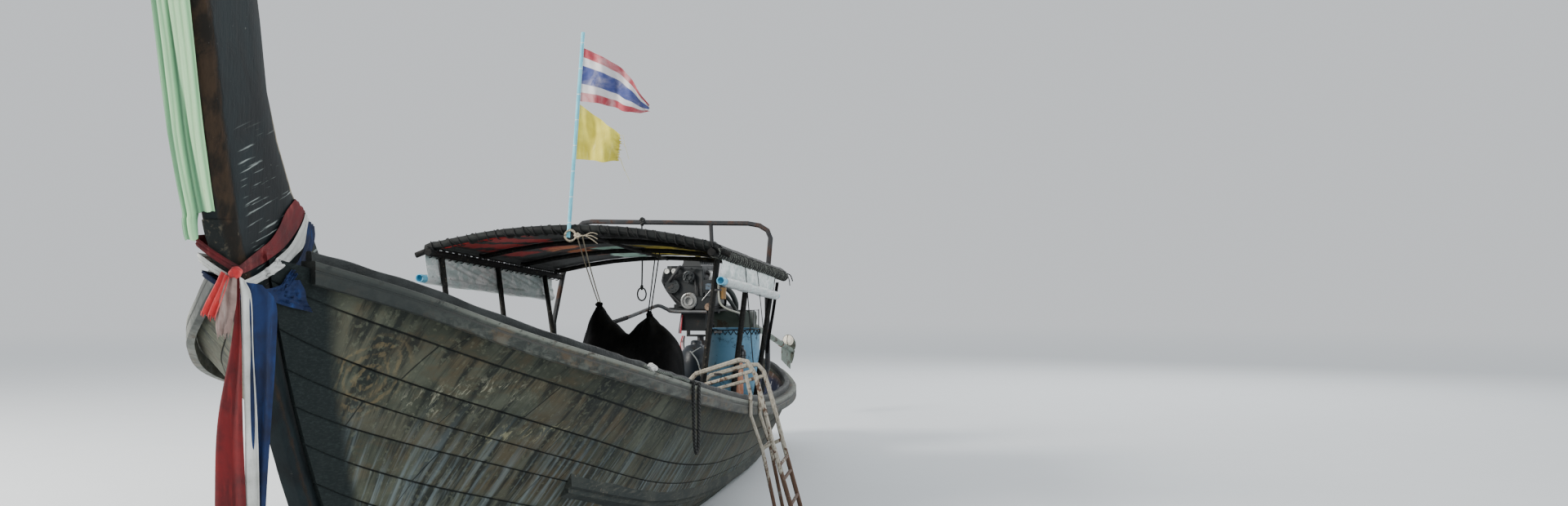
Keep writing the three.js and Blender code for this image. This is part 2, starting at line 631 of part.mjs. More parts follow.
// Loose gear inside.
const SLING = [
  // x, share of the peaks' height
  [-960, 0],
  [-1290, 0.62],
  [-1600, 1],
  [-1800, 0.7],
  [-2000, 0],
];
const SLING_LINE = [[-540, 820], [-440, 1121], [-353, 1346], [-133, 1142], [39, 1280], [197, 1152],
  [252, 1046], [290, 760]];
const SLING_THICK = 22;
add('slung_cloth', loft(SLING.map(([x, share]) => {
  const low = SLING_LINE.map(([y, z]) => V(x, y, THWART_TOP + (z - THWART_TOP) * share));
  const top = low.map((p, i) => {
    const before = low[Math.max(i - 1, 0)];
    const after = low[Math.min(i + 1, low.length - 1)];
    const across = V(0, before.z - after.z, after.y - before.y).setLength(SLING_THICK);
    return p.clone().add(across);
  });
  return [...top, ...low.reverse()];
})), 'canvas');

const DRUM = { x: -2350, y: 548, r: 215, z0: 560, z1: 1168, wall: 5 };
const can = (x, y, r, z0, z1, sides = 20) => loft([round(x, y, r, z0, sides), round(x, y, r, z1, sides)]);
const drumStand = box(DRUM.x - 150, DRUM.x + 150, DRUM.y - 150, DRUM.y + 150, THWART_TOP, DRUM.z0 - GAP);
add('drum', cut(can(DRUM.x, DRUM.y, DRUM.r, DRUM.z0, DRUM.z1),
  [can(DRUM.x, DRUM.y, DRUM.r - 8, DRUM.z0 + 10, DRUM.z1 + 10)]), 'blue_plastic');
add('drum_shelf', join([box(-2590, -2120, 330, 712, THWART_TOP, THWART_TOP + 24), drumStand]), 'wood');

// Ladder over the port side.
const TUBE_R = 15;
const INNER_R = 12;
const LEG_Y = 735;
const LADDER = [
  // x, outer stringer (y, z) from the foot inside over the rail, lower bar, inner stringer below the rail
  { x: 345,
    outer: [[LEG_Y, THWART_TOP], [LEG_Y, 880], [763, 955], [800, 994], [1079, 1085], [1131, 1075], [1184, 988],
      [1226, 829], [1288, 577], [1408, 168], [1500, -150]],
    lower: [[LEG_Y, 891], [1175, 1019]],
    inner: [[1120, 995], [0, 860], [0, 735], [1226, 525], [1304, 166], [1370, -150]] },
  { x: -150,
    outer: [[LEG_Y, THWART_TOP], [LEG_Y, 850], [753, 905], [797, 949], [1056, 1022], [1116, 1023], [1155, 980],
      [1215, 786], [1275, 549], [1400, 94], [1468, -150]],
    lower: [[LEG_Y, 830], [1172, 955]],
    inner: [[1105, 935], [0, 820], [0, 700], [1198, 494], [1280, 91], [1330, -150]] },
];
const lineAt = (line, z) => {
  const i = line.findIndex((p, k) => k > 4 && p[1] <= z);
  const [a, b] = [line[i - 1], line[i]];
  return a[0] + ((b[0] - a[0]) * (z - a[1])) / (b[1] - a[1]);
};
const tube = (x, line, r) => bar(line.map(([y, z]) => V(x, y, z)), r, 6, V(1, 0, 0));
const ladderSides = LADDER.flatMap(({ x, outer, lower, inner }) => {
  const lean = capAt(x).y + GAP + 0.1 + INNER_R;
  const innerLine = inner.map(([y, z]) => [y === 0 ? lean : y, z]);
  const [braceY, braceZ] = innerLine[3];
  const brace = [[braceY, braceZ], [lineAt(outer, braceZ + 40), braceZ + 40]];
  return [tube(x, outer, TUBE_R), ...[lower, innerLine, brace].map((line) => tube(x, line, INNER_R))];
});
const acrossLadder = (y0, y1, z, r = INNER_R) =>
  bar([V(LADDER[0].x, y0, z), V(LADDER[1].x, y1, z)], r, 6, V(0, 0, 1));
const treads = [420, 330, 170, 80, -80].map((z) =>
  acrossLadder(lineAt(LADDER[0].outer, z), lineAt(LADDER[1].outer, z), z));
const footBar = acrossLadder(LEG_Y, LEG_Y, THWART_TOP + INNER_R * Math.cos(Math.PI / 6) + 0.1);
const crossBar = acrossLadder(1226, 1203, 520);
add('ladder', join([...ladderSides, ...treads, footBar, crossBar]), 'white_paint');

// Rope hung over the rail.
const ROPE_R = 9;
const REST = ROPE_R * FLAT + GAP + 0.9;
const ropeLine = [
  // ahead, outboard of the cap's edge, height over the cap's top
  [40, -50, REST], [42, -20, REST], [44, REST, REST], [45, REST, -8], [42, REST, -80], [38, REST, -180],
  [28, REST, -270], [8, REST, -340], [-20, REST, -362], [-50, REST, -340], [-64, REST, -270], [-70, REST, -180],
  [-72, REST, -80], [-74, REST, -8], [-75, REST, REST], [-76, -20, REST], [-78, -50, REST],
];
const ROPE_X = 2080;
add('rail_rope', bar(ropeLine.map(([dx, out, up]) => {
  const cap = capAt(ROPE_X + dx);
  return V(ROPE_X + dx, cap.y + out, cap.z + up);
}), ROPE_R, 8, V(1, 0, 0)), 'rope');

// Engine on its swivel.
const turn = (geometry, degrees = SWING) => {
  const m = new THREE.Matrix4().makeTranslation(PIVOT.x, 0, 0)
    .multiply(new THREE.Matrix4().makeRotationZ(THREE.MathUtils.degToRad(-degrees)))
    .multiply(new THREE.Matrix4().makeTranslation(-PIVOT.x, 0, 0));
  return geometry.applyMatrix4(m);
};
const PX = PIVOT.x;
const DECK_TOP = AFT_DECK_Z + AFT_DECK_THICK + GAP;
const PED_TOP = 985;
add('engine_pedestal', join([
  box(PX - 110, PX + 110, -330, 330, DECK_TOP, DECK_TOP + 110),
  box(PX - 75, PX + 75, -75, 75, DECK_TOP + 100, PED_TOP),
  ...[1, -1].map((s) => loft([
    [[-30, -60], [30, -60], [30, -150], [-30, -150]].map(([x, z]) => V(PX + x, s * 70, PED_TOP + z)),
    [[-30, 170], [30, 170], [30, 90], [-30, 90]].map(([x, z]) => V(PX + x, s * 300, DECK_TOP + z))])),
]), 'wood_dark');

const PIN_R = 16;
const sideways = (y0, y1, r, sides) => bar([V(PX, y0, PIVOT.z), V(PX, y1, PIVOT.z)], r, sides);
add('swivel_yoke', turn(cut(join([
  can(PX, 0, 72, PED_TOP + GAP, PED_TOP + 16, 16),
  can(PX, 0, 30, PED_TOP + 10, PED_TOP + 60, 12),
  box(PX - 42, PX + 42, -118, 118, PED_TOP + 50, PED_TOP + 66),
  box(PX - 38, PX + 38, 106, 118, PED_TOP + 52, PIVOT.z + 36),
  box(PX - 38, PX + 38, -118, -106, PED_TOP + 52, PIVOT.z + 36),
]), [sideways(-130, 130, PIN_R + 1, 16)])), 'iron');

const FRONT = PX + 315;
const REAR = PX - 250;
const BED_Z = 1259;              // underside of the rails that the engine stands on
const CRANK_Z = 1360;
add('engine_cradle', turn(join([
  box(PX - 520, FRONT - 4, -170, -135, BED_Z, BED_Z + 40),
  box(PX - 520, FRONT - 4, 135, 170, BED_Z, BED_Z + 40),
  box(FRONT - 40, FRONT - 4, -200, 200, BED_Z - 4, BED_Z + 40),
  box(PX - 520, PX - 480, -170, 170, BED_Z - 36, BED_Z - 2),
  box(PX - 520, PX - 480, -170, -135, BED_Z - 36, BED_Z + 10),
  box(PX - 520, PX - 480, 135, 170, BED_Z - 36, BED_Z + 10),
  box(PX - 34, PX + 34, -170, 170, BED_Z - 16, BED_Z + 8),
  sideways(-124, 124, PIN_R, 12),
  box(PX - 14, PX + 14, -90, -66, PIVOT.z - 8, BED_Z - 6),
  box(PX - 14, PX + 14, 66, 90, PIVOT.z - 8, BED_Z - 6),
  ...[-140, 60].map((y) => box(FRONT - 10, FRONT + 18.9, y, y + 36, BED_Z - 4, BED_Z + 14)),
])), 'iron');

const across = (x0, x1, y, z, r, sides = 16) => bar([V(x0, y, z), V(x1, y, z)], r, sides);
const bed = (z) => BED_Z + 40 + z;       // heights above the rails' top
const pan = box(PX + 75, FRONT - 46, -100, 120, bed(-202), bed(9));
const blockLow = box(REAR, FRONT, -130, 130, bed(4), bed(264));
const feet = [[REAR + 30, REAR + 90], [FRONT - 110, FRONT - 50]].map(([a, b]) =>
  box(a, b, -166, 166, bed(GAP), bed(28)));
const head = box(REAR + 20, FRONT - 20, -105, 100, bed(259), bed(364));
const rocker = loft([[359, 0], [419, 22], [436, 40]].map(([z, inset]) => [
  V(REAR + 30 + inset, -92 + inset, bed(z)), V(FRONT - 30 - inset, -92 + inset, bed(z)),
  V(FRONT - 30 - inset, 86 - inset, bed(z)), V(REAR + 30 + inset, 86 - inset, bed(z))]));
const BELL = [[5, 128, CRANK_Z], [-70, 128, CRANK_Z], [-150, 104, 1352], [-260, 82, 1347]];
const bell = loft(BELL.map(([x, r, z]) => round(0, 0, r, 0, 16).map((p) => V(REAR + x, p.x, z + p.y))));
const manifoldSide = box(REAR + 60, FRONT - 60, 95, 205, bed(164), bed(234));
const filter = can(FRONT - 110, -190, 55, bed(214), bed(364), 14);
const filterNeck = box(FRONT - 130, FRONT - 90, -190, -100, bed(264), bed(294));
const exhaust = bar([V(REAR + 120, -115, bed(234)), V(REAR + 120, -190, bed(234)), V(REAR + 60, -225, bed(204)),
  V(REAR - 240, -225, bed(164))], 26, 8);
const pumpBox = box(FRONT - 90, FRONT + 26, 120, 235, bed(134), bed(244));
add('engine_block', turn(join([pan, blockLow, ...feet, head, rocker, bell, manifoldSide, filter, filterNeck,
  exhaust, pumpBox])), 'iron');

const disc = (y, z, r, x0, x1, sides = 18) => across(x0, x1, y, z, r, sides);
const frontGear = [
  // y, z, radius, reach ahead of the block
  [0, CRANK_Z, 72, 62],
  [-5, 1569, 52, 52],
  [-155, 1486, 65, 44],
  [-207, 1616, 22, 30],
  [-144, 1618, 22, 30],
  [175, 1309, 33, 60],
];
// The cover behind the pulleys, as an outline of y and z.
const COVER = [[-232, 1640], [-262, 1530], [-215, 1440], [-100, 1304], [60, 1304], [118, 1363],
  [118, 1640], [-40, 1655]];
const carrier = loft([FRONT + GAP, FRONT + 16].map((x) => COVER.map(([y, z]) => V(x, y, z))));
add('engine_front_gear', turn(join([carrier,
  ...frontGear.map(([y, z, r, reach]) => disc(y, z, r, FRONT + 14, FRONT + reach)),
  box(FRONT + 1, FRONT + 16, 50, 200, 1283, 1400)])), 'iron');

const TILLER = [
  // ahead of the engine's front, y, z
  [34, 156, 1266], [34, -150, 1268], [48, -205, 1290], [90, -250, 1316], [150, -275, 1314],
  [300, -320, 1282], [520, -430, 1220], [770, -560, 1165],
];
add('tiller', turn(bar(TILLER.map(([x, y, z]) => V(FRONT + x, y, z)), 16, 8)), 'iron');

const drop = THREE.MathUtils.degToRad(TAIL_DROP);
const tail = (d, up = 0) => V(PX - d, 0, TAIL_Z - d * Math.tan(drop) + up);
const flange = loft([[510.3, 82], [535, 82], [536, 62], [620, 50]].map(([d, r]) =>
  round(0, 0, r, 0, 16).map((p) => V(PX - d, p.x, tail(d).z + p.y))));
add('shaft_tube', turn(join([
  flange,
  bar([tail(560), tail(PROP_DISTANCE - 60)], 29, 12),
  loft([[tail(3150, -24), tail(3150, -170)], [tail(3560, -24), tail(3560, -210)]].map(([a, b]) => [
    V(a.x, 5, a.z), V(a.x, -5, a.z), V(b.x, -5, b.z), V(b.x, 5, b.z)])),
])), 'bronze');
const ball = tail(3470, 89.8);
const ringsOfBall = spread(-0.5, 0.5, 10).slice(1, -1).map((f) => {
  const angle = f * Math.PI;
  return round(ball.x, 0, 60 * Math.cos(angle), ball.z + 60 * Math.sin(angle), 14);
});
add('tail_float', turn(loft(ringsOfBall)), 'cream');

const axisDir = V(-Math.cos(drop), 0, -Math.sin(drop));
const hub = tail(PROP_DISTANCE);
const upDir = V(-Math.sin(drop), 0, Math.cos(drop));
const BLADE = [[20, 34, 16], [60, 46, 10], [105, 50, 7], [138, 30, 5]];     // radius, half chord, thickness
const blade = (sign) => loft(BLADE.map(([r, wide, thick]) => {
  const twist = THREE.MathUtils.degToRad(62 - r * 0.28);
  const c = hub.clone().addScaledVector(upDir, sign * r);
  const chord = V(0, 1, 0).multiplyScalar(Math.sin(twist)).addScaledVector(axisDir, sign * Math.cos(twist));
  const normal = chord.clone().cross(upDir).normalize();
  return [[-wide, -thick / 2], [wide, -thick / 2], [wide, thick / 2], [-wide, thick / 2]].map(([a, b]) =>
    c.clone().addScaledVector(chord, a).addScaledVector(normal, b));
}));
add('propeller', turn(join([
  bar([hub.clone().addScaledVector(axisDir, -60.8), hub.clone().addScaledVector(axisDir, 40),
    hub.clone().addScaledVector(axisDir, 70)], [27, 27, 10], 12),
  blade(1), blade(-1)])), 'bronze');

export default group;
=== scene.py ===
# %% [markdown]
# # A longtail boat, piece by piece
# The boat lies afloat: z = 0 is the water's surface, +X points to the bow and +Y to port.
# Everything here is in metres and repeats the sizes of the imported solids, so each new
# surface lands on the place that its solid holds.

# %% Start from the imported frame
import math

import bpy
import numpy as np
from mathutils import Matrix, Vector


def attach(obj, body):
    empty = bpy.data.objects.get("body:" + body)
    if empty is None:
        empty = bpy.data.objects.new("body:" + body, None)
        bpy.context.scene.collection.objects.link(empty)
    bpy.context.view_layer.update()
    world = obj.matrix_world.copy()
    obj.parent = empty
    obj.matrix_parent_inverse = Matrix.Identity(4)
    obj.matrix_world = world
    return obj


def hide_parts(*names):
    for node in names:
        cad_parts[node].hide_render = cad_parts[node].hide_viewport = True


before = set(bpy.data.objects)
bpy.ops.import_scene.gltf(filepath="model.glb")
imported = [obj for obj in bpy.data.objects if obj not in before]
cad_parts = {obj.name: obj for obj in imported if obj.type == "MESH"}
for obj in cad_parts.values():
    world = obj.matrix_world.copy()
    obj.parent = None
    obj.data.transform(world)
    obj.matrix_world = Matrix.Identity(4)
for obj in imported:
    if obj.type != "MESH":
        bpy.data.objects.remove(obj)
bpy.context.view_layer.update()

# %% [markdown]
# ## Camera, light and floor
# The picture was taken from ahead of the bow and a little to port, at the height of a
# standing eye, so the horizon lies almost at the middle of a very wide frame.

# %% Camera, light and floor
EYE = Vector((10.518, 2.891, 1.72))
LOOK = Vector((-0.98894, -0.14834, 0.0))
WIDE, FOCAL, RISE_OF_LENS = 1920, 2000, 8        # picture width, focal length and upward shift, in pixels
STUDIO_TONE = (.74, .77, .80)

camera_data = bpy.data.cameras.new("camera")
camera_data.sensor_width = 36
camera_data.lens = FOCAL * camera_data.sensor_width / WIDE
camera_data.shift_y = RISE_OF_LENS / WIDE
camera_data.clip_end = 300
camera = bpy.data.objects.new("camera", camera_data)
camera.location = EYE
camera.rotation_euler = LOOK.to_track_quat("-Z", "Y").to_euler()
bpy.context.scene.collection.objects.link(camera)
bpy.context.scene.camera = camera


def soft_light(name, place, aim, size, watts, colour):
    """A square area light that faces the point aim."""
    data = bpy.data.lights.new(name, "AREA")
    data.size, data.energy, data.color = size, watts, colour
    light = bpy.data.objects.new(name, data)
    light.location = place
    light.rotation_euler = (Vector(aim) - Vector(place)).to_track_quat("-Z", "Y").to_euler()
    bpy.context.scene.collection.objects.link(light)


soft_light("key", (6, -12, 9), (0, 0, 1), 5, 3900, (1, .96, .9))
soft_light("fill", (11, 11, 7), (1, 0, .8), 9, 1150, (.93, .97, 1))
soft_light("back", (-13, 5, 8), (-2, 0, 1), 8, 700, (1, 1, 1))

# %% [markdown]
# ## Shader sums in Python
# A finish is a sum of noises, masks and colours. Wrapping a socket in a small class lets
# such a sum be written as one, which is easier to read than a page of node links.


# %% Shader sums
class Strand:
    """A value or colour on its way through a finish."""

    def __init__(self, paint, socket):
        self.paint, self.socket = paint, socket

    def _sum(self, operation, a, b=None):
        return self.paint.node("ShaderNodeMath", {"operation": operation}, [a] if b is None else [a, b])

    def __add__(self, other):
        return self._sum("ADD", self, other)

    __radd__ = __add__

    def __sub__(self, other):
        return self._sum("SUBTRACT", self, other)

    def __rsub__(self, other):
        return self._sum("SUBTRACT", other, self)

    def __mul__(self, other):
        return self._sum("MULTIPLY", self, other)

    __rmul__ = __mul__

    def __truediv__(self, other):
        return self._sum("DIVIDE", self, other)

    def __pow__(self, other):
        return self._sum("POWER", self, other)

    def floor(self):
        return self._sum("FLOOR", self)

    def fold(self):
        """Distance to the nearest whole number, 0 to .5."""
        return self._sum("PINGPONG", self, .5)

    def sine(self):
        return self._sum("SINE", self)

    def top(self, other):
        return self._sum("MAXIMUM", self, other)


class Paint:
    """A finish of the boat: one material, built up by its methods."""

    def __init__(self, name, **fixed):
        self.material = bpy.data.materials.new(name)
        self.material.use_nodes = True
        self.tree = self.material.node_tree
        self.shader = self.tree.nodes["Principled BSDF"]
        for key, value in fixed.items():
            self.shader.inputs[key.replace("_", " ")].default_value = value
        place = self.tree.nodes.new("ShaderNodeTexCoord")
        self.place = Strand(self, place.outputs["Object"])

    def node(self, kind, settings, inputs=(), out=0):
        """Any node: its settings first, then its inputs as values or Strands."""
        node = self.tree.nodes.new(kind)
        for key, value in settings.items():
            setattr(node, key, value)
        for key, value in inputs.items() if isinstance(inputs, dict) else enumerate(inputs):
            if isinstance(value, Strand):
                self.tree.links.new(value.socket, node.inputs[key])
            else:
                node.inputs[key].default_value = value
        return Strand(self, node.outputs[out])

    def spot(self, scale, turn=(0, 0, 0), shift=(0, 0, 0)):
        """Coordinates, turned, then stretched by scale and shifted."""
        place = self.place
        if any(turn):
            place = self.node("ShaderNodeMapping", {}, {"Vector": place, "Rotation": turn})
        return self.node("ShaderNodeMapping", {}, {"Vector": place, "Scale": scale, "Location": shift})

    def noise(self, scale, detail=4, rough=.6, warp=0, turn=(0, 0, 0)):
        """Noise from 0 to 1 with its own number of bumps per metre along each axis."""
        return self.node("ShaderNodeTexNoise", {}, {"Vector": self.spot(scale, turn), "Scale": 1,
            "Detail": detail, "Roughness": rough, "Distortion": warp})

    def white(self, value):
        """A random tone for each value."""
        return self.node("ShaderNodeTexWhiteNoise", {"noise_dimensions": "1D"}, {"W": value})

    def weave(self, pitch):
        """Threads across and along a cloth that carries its own metres as u and v."""
        return (self.value("u") * pitch).sine() * (self.value("v") * pitch).sine()

    def value(self, name):
        """A number that the piece carries at each of its points."""
        return self.node("ShaderNodeAttribute", {"attribute_name": name}, {}, "Fac")

    def axis(self, which):
        return self.node("ShaderNodeSeparateXYZ", {}, [self.place], which)

    def away(self, centre, scale=(1, 1, 1)):
        """Distance from a point, each axis weighed."""
        shift = tuple(-c * s for c, s in zip(centre, scale))
        return self.node("ShaderNodeVectorMath", {"operation": "LENGTH"}, [self.spot(scale, shift=shift)],
            "Value")

    def step(self, value, low, high):
        """0 below low, 1 above high, smooth between; low may be the larger."""
        return self.node("ShaderNodeMapRange", {"interpolation_type": "SMOOTHSTEP"}, [value, low, high, 0, 1])

    def blend(self, share, a, b):
        colour = [c if isinstance(c, Strand) else (*c, 1) for c in (a, b)]
        return self.node("ShaderNodeMix", {"data_type": "RGBA"}, {0: share, 6: colour[0], 7: colour[1]}, 2)

    def done(self, colour, rough=None, height=None, deep=.004, strength=1.0, **more):
        """Joins the sums to the shader: colour, roughness and a height in metres for its bumps."""
        given = {"Base Color": colour, "Roughness": rough, **{k.replace("_", " "): v
            for k, v in more.items()}}
        if height is not None:
            given["Normal"] = self.node("ShaderNodeBump", {}, {"Strength": strength, "Distance": deep,
                "Height": height})
        for key, value in given.items():
            if isinstance(value, Strand):
                self.tree.links.new(value.socket, self.shader.inputs[key])
            elif value is not None:
                self.shader.inputs[key].default_value = (*value, 1) if key == "Base Color" else value
        return self.material


# %% Floor
floor_paint = Paint("studio floor")
far = floor_paint.step(floor_paint.away((-1, 0, 0)), 9, 34)
near_tone = floor_paint.blend(floor_paint.noise((2, 2, 2)), (.70, .73, .75), (.73, .76, .78))
floor_look = floor_paint.done(floor_paint.blend(far, near_tone, (0, 0, 0)), .8,
    Emission_Color=floor_paint.blend(far, (0, 0, 0), STUDIO_TONE))
floor_paint.shader.inputs["Emission Strength"].default_value = 1
floor_paint.shader.inputs["Specular IOR Level"].default_value = 0
floor_mesh = bpy.data.meshes.new("floor")
REACH = 196
# Places along the boat, and the half breadth at z = 0 in the middle of the planks. The floor
# stops there, so the hull's inside stays open.
HOLE = np.array([(3.6, .05), (3.5, .058), (3.3, .075), (3, .132), (2.6, .241), (2.1, .356), (1.5, .474),
    (.9, .5455), (.2, .5825), (-.6, .6), (-1.4, .601), (-2.2, .5875), (-2.9, .5595), (-3.4, .5255),
    (-3.8, .4775), (-4, .4355), (-4.2, .3805)])
rim = np.concatenate([HOLE, HOLE[::-1] * (1, -1)])
way = (np.arange(len(rim)) + .5) / len(rim) * 2 * np.pi
outer = np.column_stack([np.cos(way), np.sin(way)]) * REACH
k = np.arange(len(rim))
floor_mesh.from_pydata([(x, y, 0) for x, y in np.concatenate([rim, outer])], [],
    np.column_stack([k + len(k), (k + 1) % len(k) + len(k), (k + 1) % len(k), k]).tolist())
floor = bpy.data.objects.new("floor", floor_mesh)
floor.data.materials.append(floor_look)
bpy.context.scene.collection.objects.link(floor)
world = bpy.data.worlds.new("studio")
world.use_nodes = True
world.node_tree.nodes["Background"].inputs["Color"].default_value = (*STUDIO_TONE, 1)
world.node_tree.nodes["Background"].inputs["Strength"].default_value = 1
bpy.context.scene.world = world

# %% [markdown]
# ## Surfaces from grids
# Every new piece is a grid of points worked out as whole arrays: a surface of two
# parameters, or a profile carried along a path. A few helpers close such grids.


# %% Mesh kit
def quads(rows, cols, ring=False):
    """Corners of the quads of a grid, row by row; a ring joins its last column to its first."""
    r = np.arange(rows - 1)[:, None]
    c = np.arange(cols if ring else cols - 1)[None, :]
    a, b = r * cols + c, r * cols + (c + 1) % cols
    return np.stack([a, b, b + cols, a + cols], -1).reshape(-1, 4)


def facing(points, faces):
    """The faces, turned round if the closed shape that they make has a negative volume."""
    tri = np.concatenate([faces[:, :3], faces[:, [0, 2, 3]]]) if faces.shape[1] == 4 else faces
    a, b, c = (points[tri[:, k]] for k in range(3))
    return faces if np.einsum("ij,ij->", a, np.cross(b, c)) >= 0 else faces[:, ::-1]


def shape(points, faces, **values):
    """A closed part of a piece; points (n, 3), faces of four corners, values per point."""
    points = np.asarray(points, float).reshape(-1, 3)
    return {"points": points, "faces": facing(points, np.asarray(faces)),
        "values": {k: np.broadcast_to(v, len(points)) if np.ndim(v) == 0 else np.ravel(v)
        for k, v in values.items()}}


def lofted(rings, **values):
    """Closed solid through rings (rows, cols, 3): side quads, and a fan of quads over each end."""
    rings = np.asarray(rings, float)
    rows, cols = rings.shape[:2]
    ends = rings[[0, -1]].mean(1)
    points = np.concatenate([rings.reshape(-1, 3), ends])
    k = np.arange(cols)
    first, last = rows * cols, rows * cols + 1
    low = np.stack([(k + 1) % cols, k, np.full(cols, first), np.full(cols, first)], -1)
    high = np.stack([k, (k + 1) % cols, np.full(cols, last), np.full(cols, last)], -1)
    high[:, :2] += (rows - 1) * cols
    more = {key: np.concatenate([np.broadcast_to(v, (rows, cols)).ravel(),
        np.broadcast_to(v, (rows, cols))[[0, -1]].mean(1)]) for key, v in values.items()}
    return shape(points, np.concatenate([quads(rows, cols, True), low, high]), **more)


def slab(front, back, ring=False, **values):
    """Closed sheet between two grids of the same shape, with rims; a ring closes on itself."""
    rows, cols = front.shape[:2]
    n = rows * cols
    grid = quads(rows, cols, ring)
    c = np.arange(cols if ring else cols - 1)
    along = [np.stack([(c + 1) % cols, c, c + n, (c + 1) % cols + n], -1)]
    s = (rows - 1) * cols
    along.append(np.stack([s + c, s + (c + 1) % cols, s + (c + 1) % cols + n, s + c + n], -1))
    if not ring:
        r = np.arange(rows - 1) * cols
        along.append(np.stack([r, r + cols, r + cols + n, r + n], -1))
        r = r + cols - 1
        along.append(np.stack([r + cols, r, r + n, r + cols + n], -1))
    faces = np.concatenate([grid, grid[:, ::-1] + n, *along])
    more = {k: np.tile(np.broadcast_to(v, (rows, cols)).ravel(), 2) for k, v in values.items()}
    return shape(np.concatenate([front.reshape(-1, 3), back.reshape(-1, 3)]), faces, **more)


def normals(grid, ring=False):
    """Unit normals of a grid: the cross product of its two differences."""
    along = np.gradient(grid, axis=0)
    if ring:
        across = (np.roll(grid, -1, 1) - np.roll(grid, 1, 1)) / 2
    else:
        across = np.gradient(grid, axis=1)
    n = np.cross(along, across)
    return n / np.maximum(np.linalg.norm(n, axis=-1, keepdims=True), 1e-9)


def catmull(a, b, c, d, f):
    """Catmull-Rom blend from b to c, a share f of the way."""
    return .5 * (2 * b + (c - a) * f + (2 * a - 5 * b + 4 * c - d) * f**2 + (3 * b - a - 3 * c + d) * f**3)


def curve(points, count, closed=False):
    """Catmull-Rom curve through the points, at count even steps of its parameter."""
    p = np.asarray(points, float)
    p = np.concatenate([p[-1:], p, p[:2]]) if closed else np.concatenate([[2 * p[0] - p[1]], p,
        [2 * p[-1] - p[-2]]])
    s = np.linspace(0, len(p) - 3, count, endpoint=not closed)
    i = np.minimum(s.astype(int), len(p) - 4)
    return catmull(p[i], p[i + 1], p[i + 2], p[i + 3], (s - i)[:, None])


def distances(path):
    """Distance along a path at each of its points."""
    return np.concatenate([[0], np.cumsum(np.linalg.norm(np.diff(path, axis=0), axis=1))])


def globe(rows, cols):
    """Angles down from the pole and round it, and the unit ball that they make."""
    a, b = np.meshgrid(np.linspace(0, np.pi, rows), np.arange(cols) * 2 * np.pi / cols, indexing="ij")
    return a, b, np.stack([np.sin(a) * np.cos(b), np.sin(a) * np.sin(b), np.cos(a)], -1)


def frames_along(path, up):
    """Side and over directions square to a path, with the side kept near up."""
    d = np.gradient(path, axis=0)
    d /= np.linalg.norm(d, axis=1, keepdims=True)
    side = np.asarray(up, float) - (d @ np.asarray(up, float))[:, None] * d
    side /= np.linalg.norm(side, axis=1, keepdims=True)
    return side, np.cross(d, side)


def tube(path, radius, sides=10, up=(0, 0, 1), **values):
    """Round bar: a circle of the radius, or one radius per point, carried along the path."""
    path = np.asarray(path, float)
    side, over = frames_along(path, up)
    a = np.arange(sides) * 2 * np.pi / sides
    r = np.broadcast_to(radius, len(path))[:, None, None]
    rings = path[:, None] + r * (side[:, None] * np.cos(a)[None, :, None] + over[:, None] * np.sin(a)[None, :,
        None])
    return lofted(rings, **{k: np.broadcast_to(np.reshape(v, (-1, 1)), (len(path), sides))
        for k, v in values.items()})


def turned(profile, centre, axis=(0, 0, 1), sides=32, **values):
    """Lathe work: a profile of (distance along the axis, radius) spun about the axis through centre."""
    profile = np.asarray(profile, float)
    z = np.asarray(axis, float) / np.linalg.norm(axis)
    x = np.cross(z, (1, 0, 0) if abs(z[0]) < .8 else (0, 1, 0))
    x /= np.linalg.norm(x)
    y = np.cross(z, x)
    a = np.arange(sides) * 2 * np.pi / sides
    spoke = x * np.cos(a)[:, None] + y * np.sin(a)[:, None]
    rings = np.asarray(centre) + profile[:, 0, None, None] * z + profile[:, 1, None, None] * spoke
    return lofted(rings, **values)


def block(low, high, soft=.006):
    """A box with eased edges: a rounded square ring, drawn in at both ends."""
    low, high = np.minimum(low, high), np.maximum(low, high)
    e = min(soft, float((high - low).min()) / 3)
    x, y = (low[0], high[0]), (low[1], high[1])
    ring = np.array([(x[0] + e, y[0]), (x[1] - e, y[0]), (x[1], y[0] + e), (x[1], y[1] - e), (x[1] - e, y[1]),
        (x[0] + e, y[1]), (x[0], y[1] - e), (x[0], y[0] + e)])
    middle = ring.mean(0)
    shrink = middle + (ring - middle) * (1 - 2 * e / np.maximum(high[:2] - low[:2], 1e-6))
    rows = [(shrink, low[2]), (ring, low[2] + e), (ring, high[2] - e), (shrink, high[2])]
    return lofted([np.column_stack([r, np.full(8, z)]) for r, z in rows])


# %% Pieces
made = {}


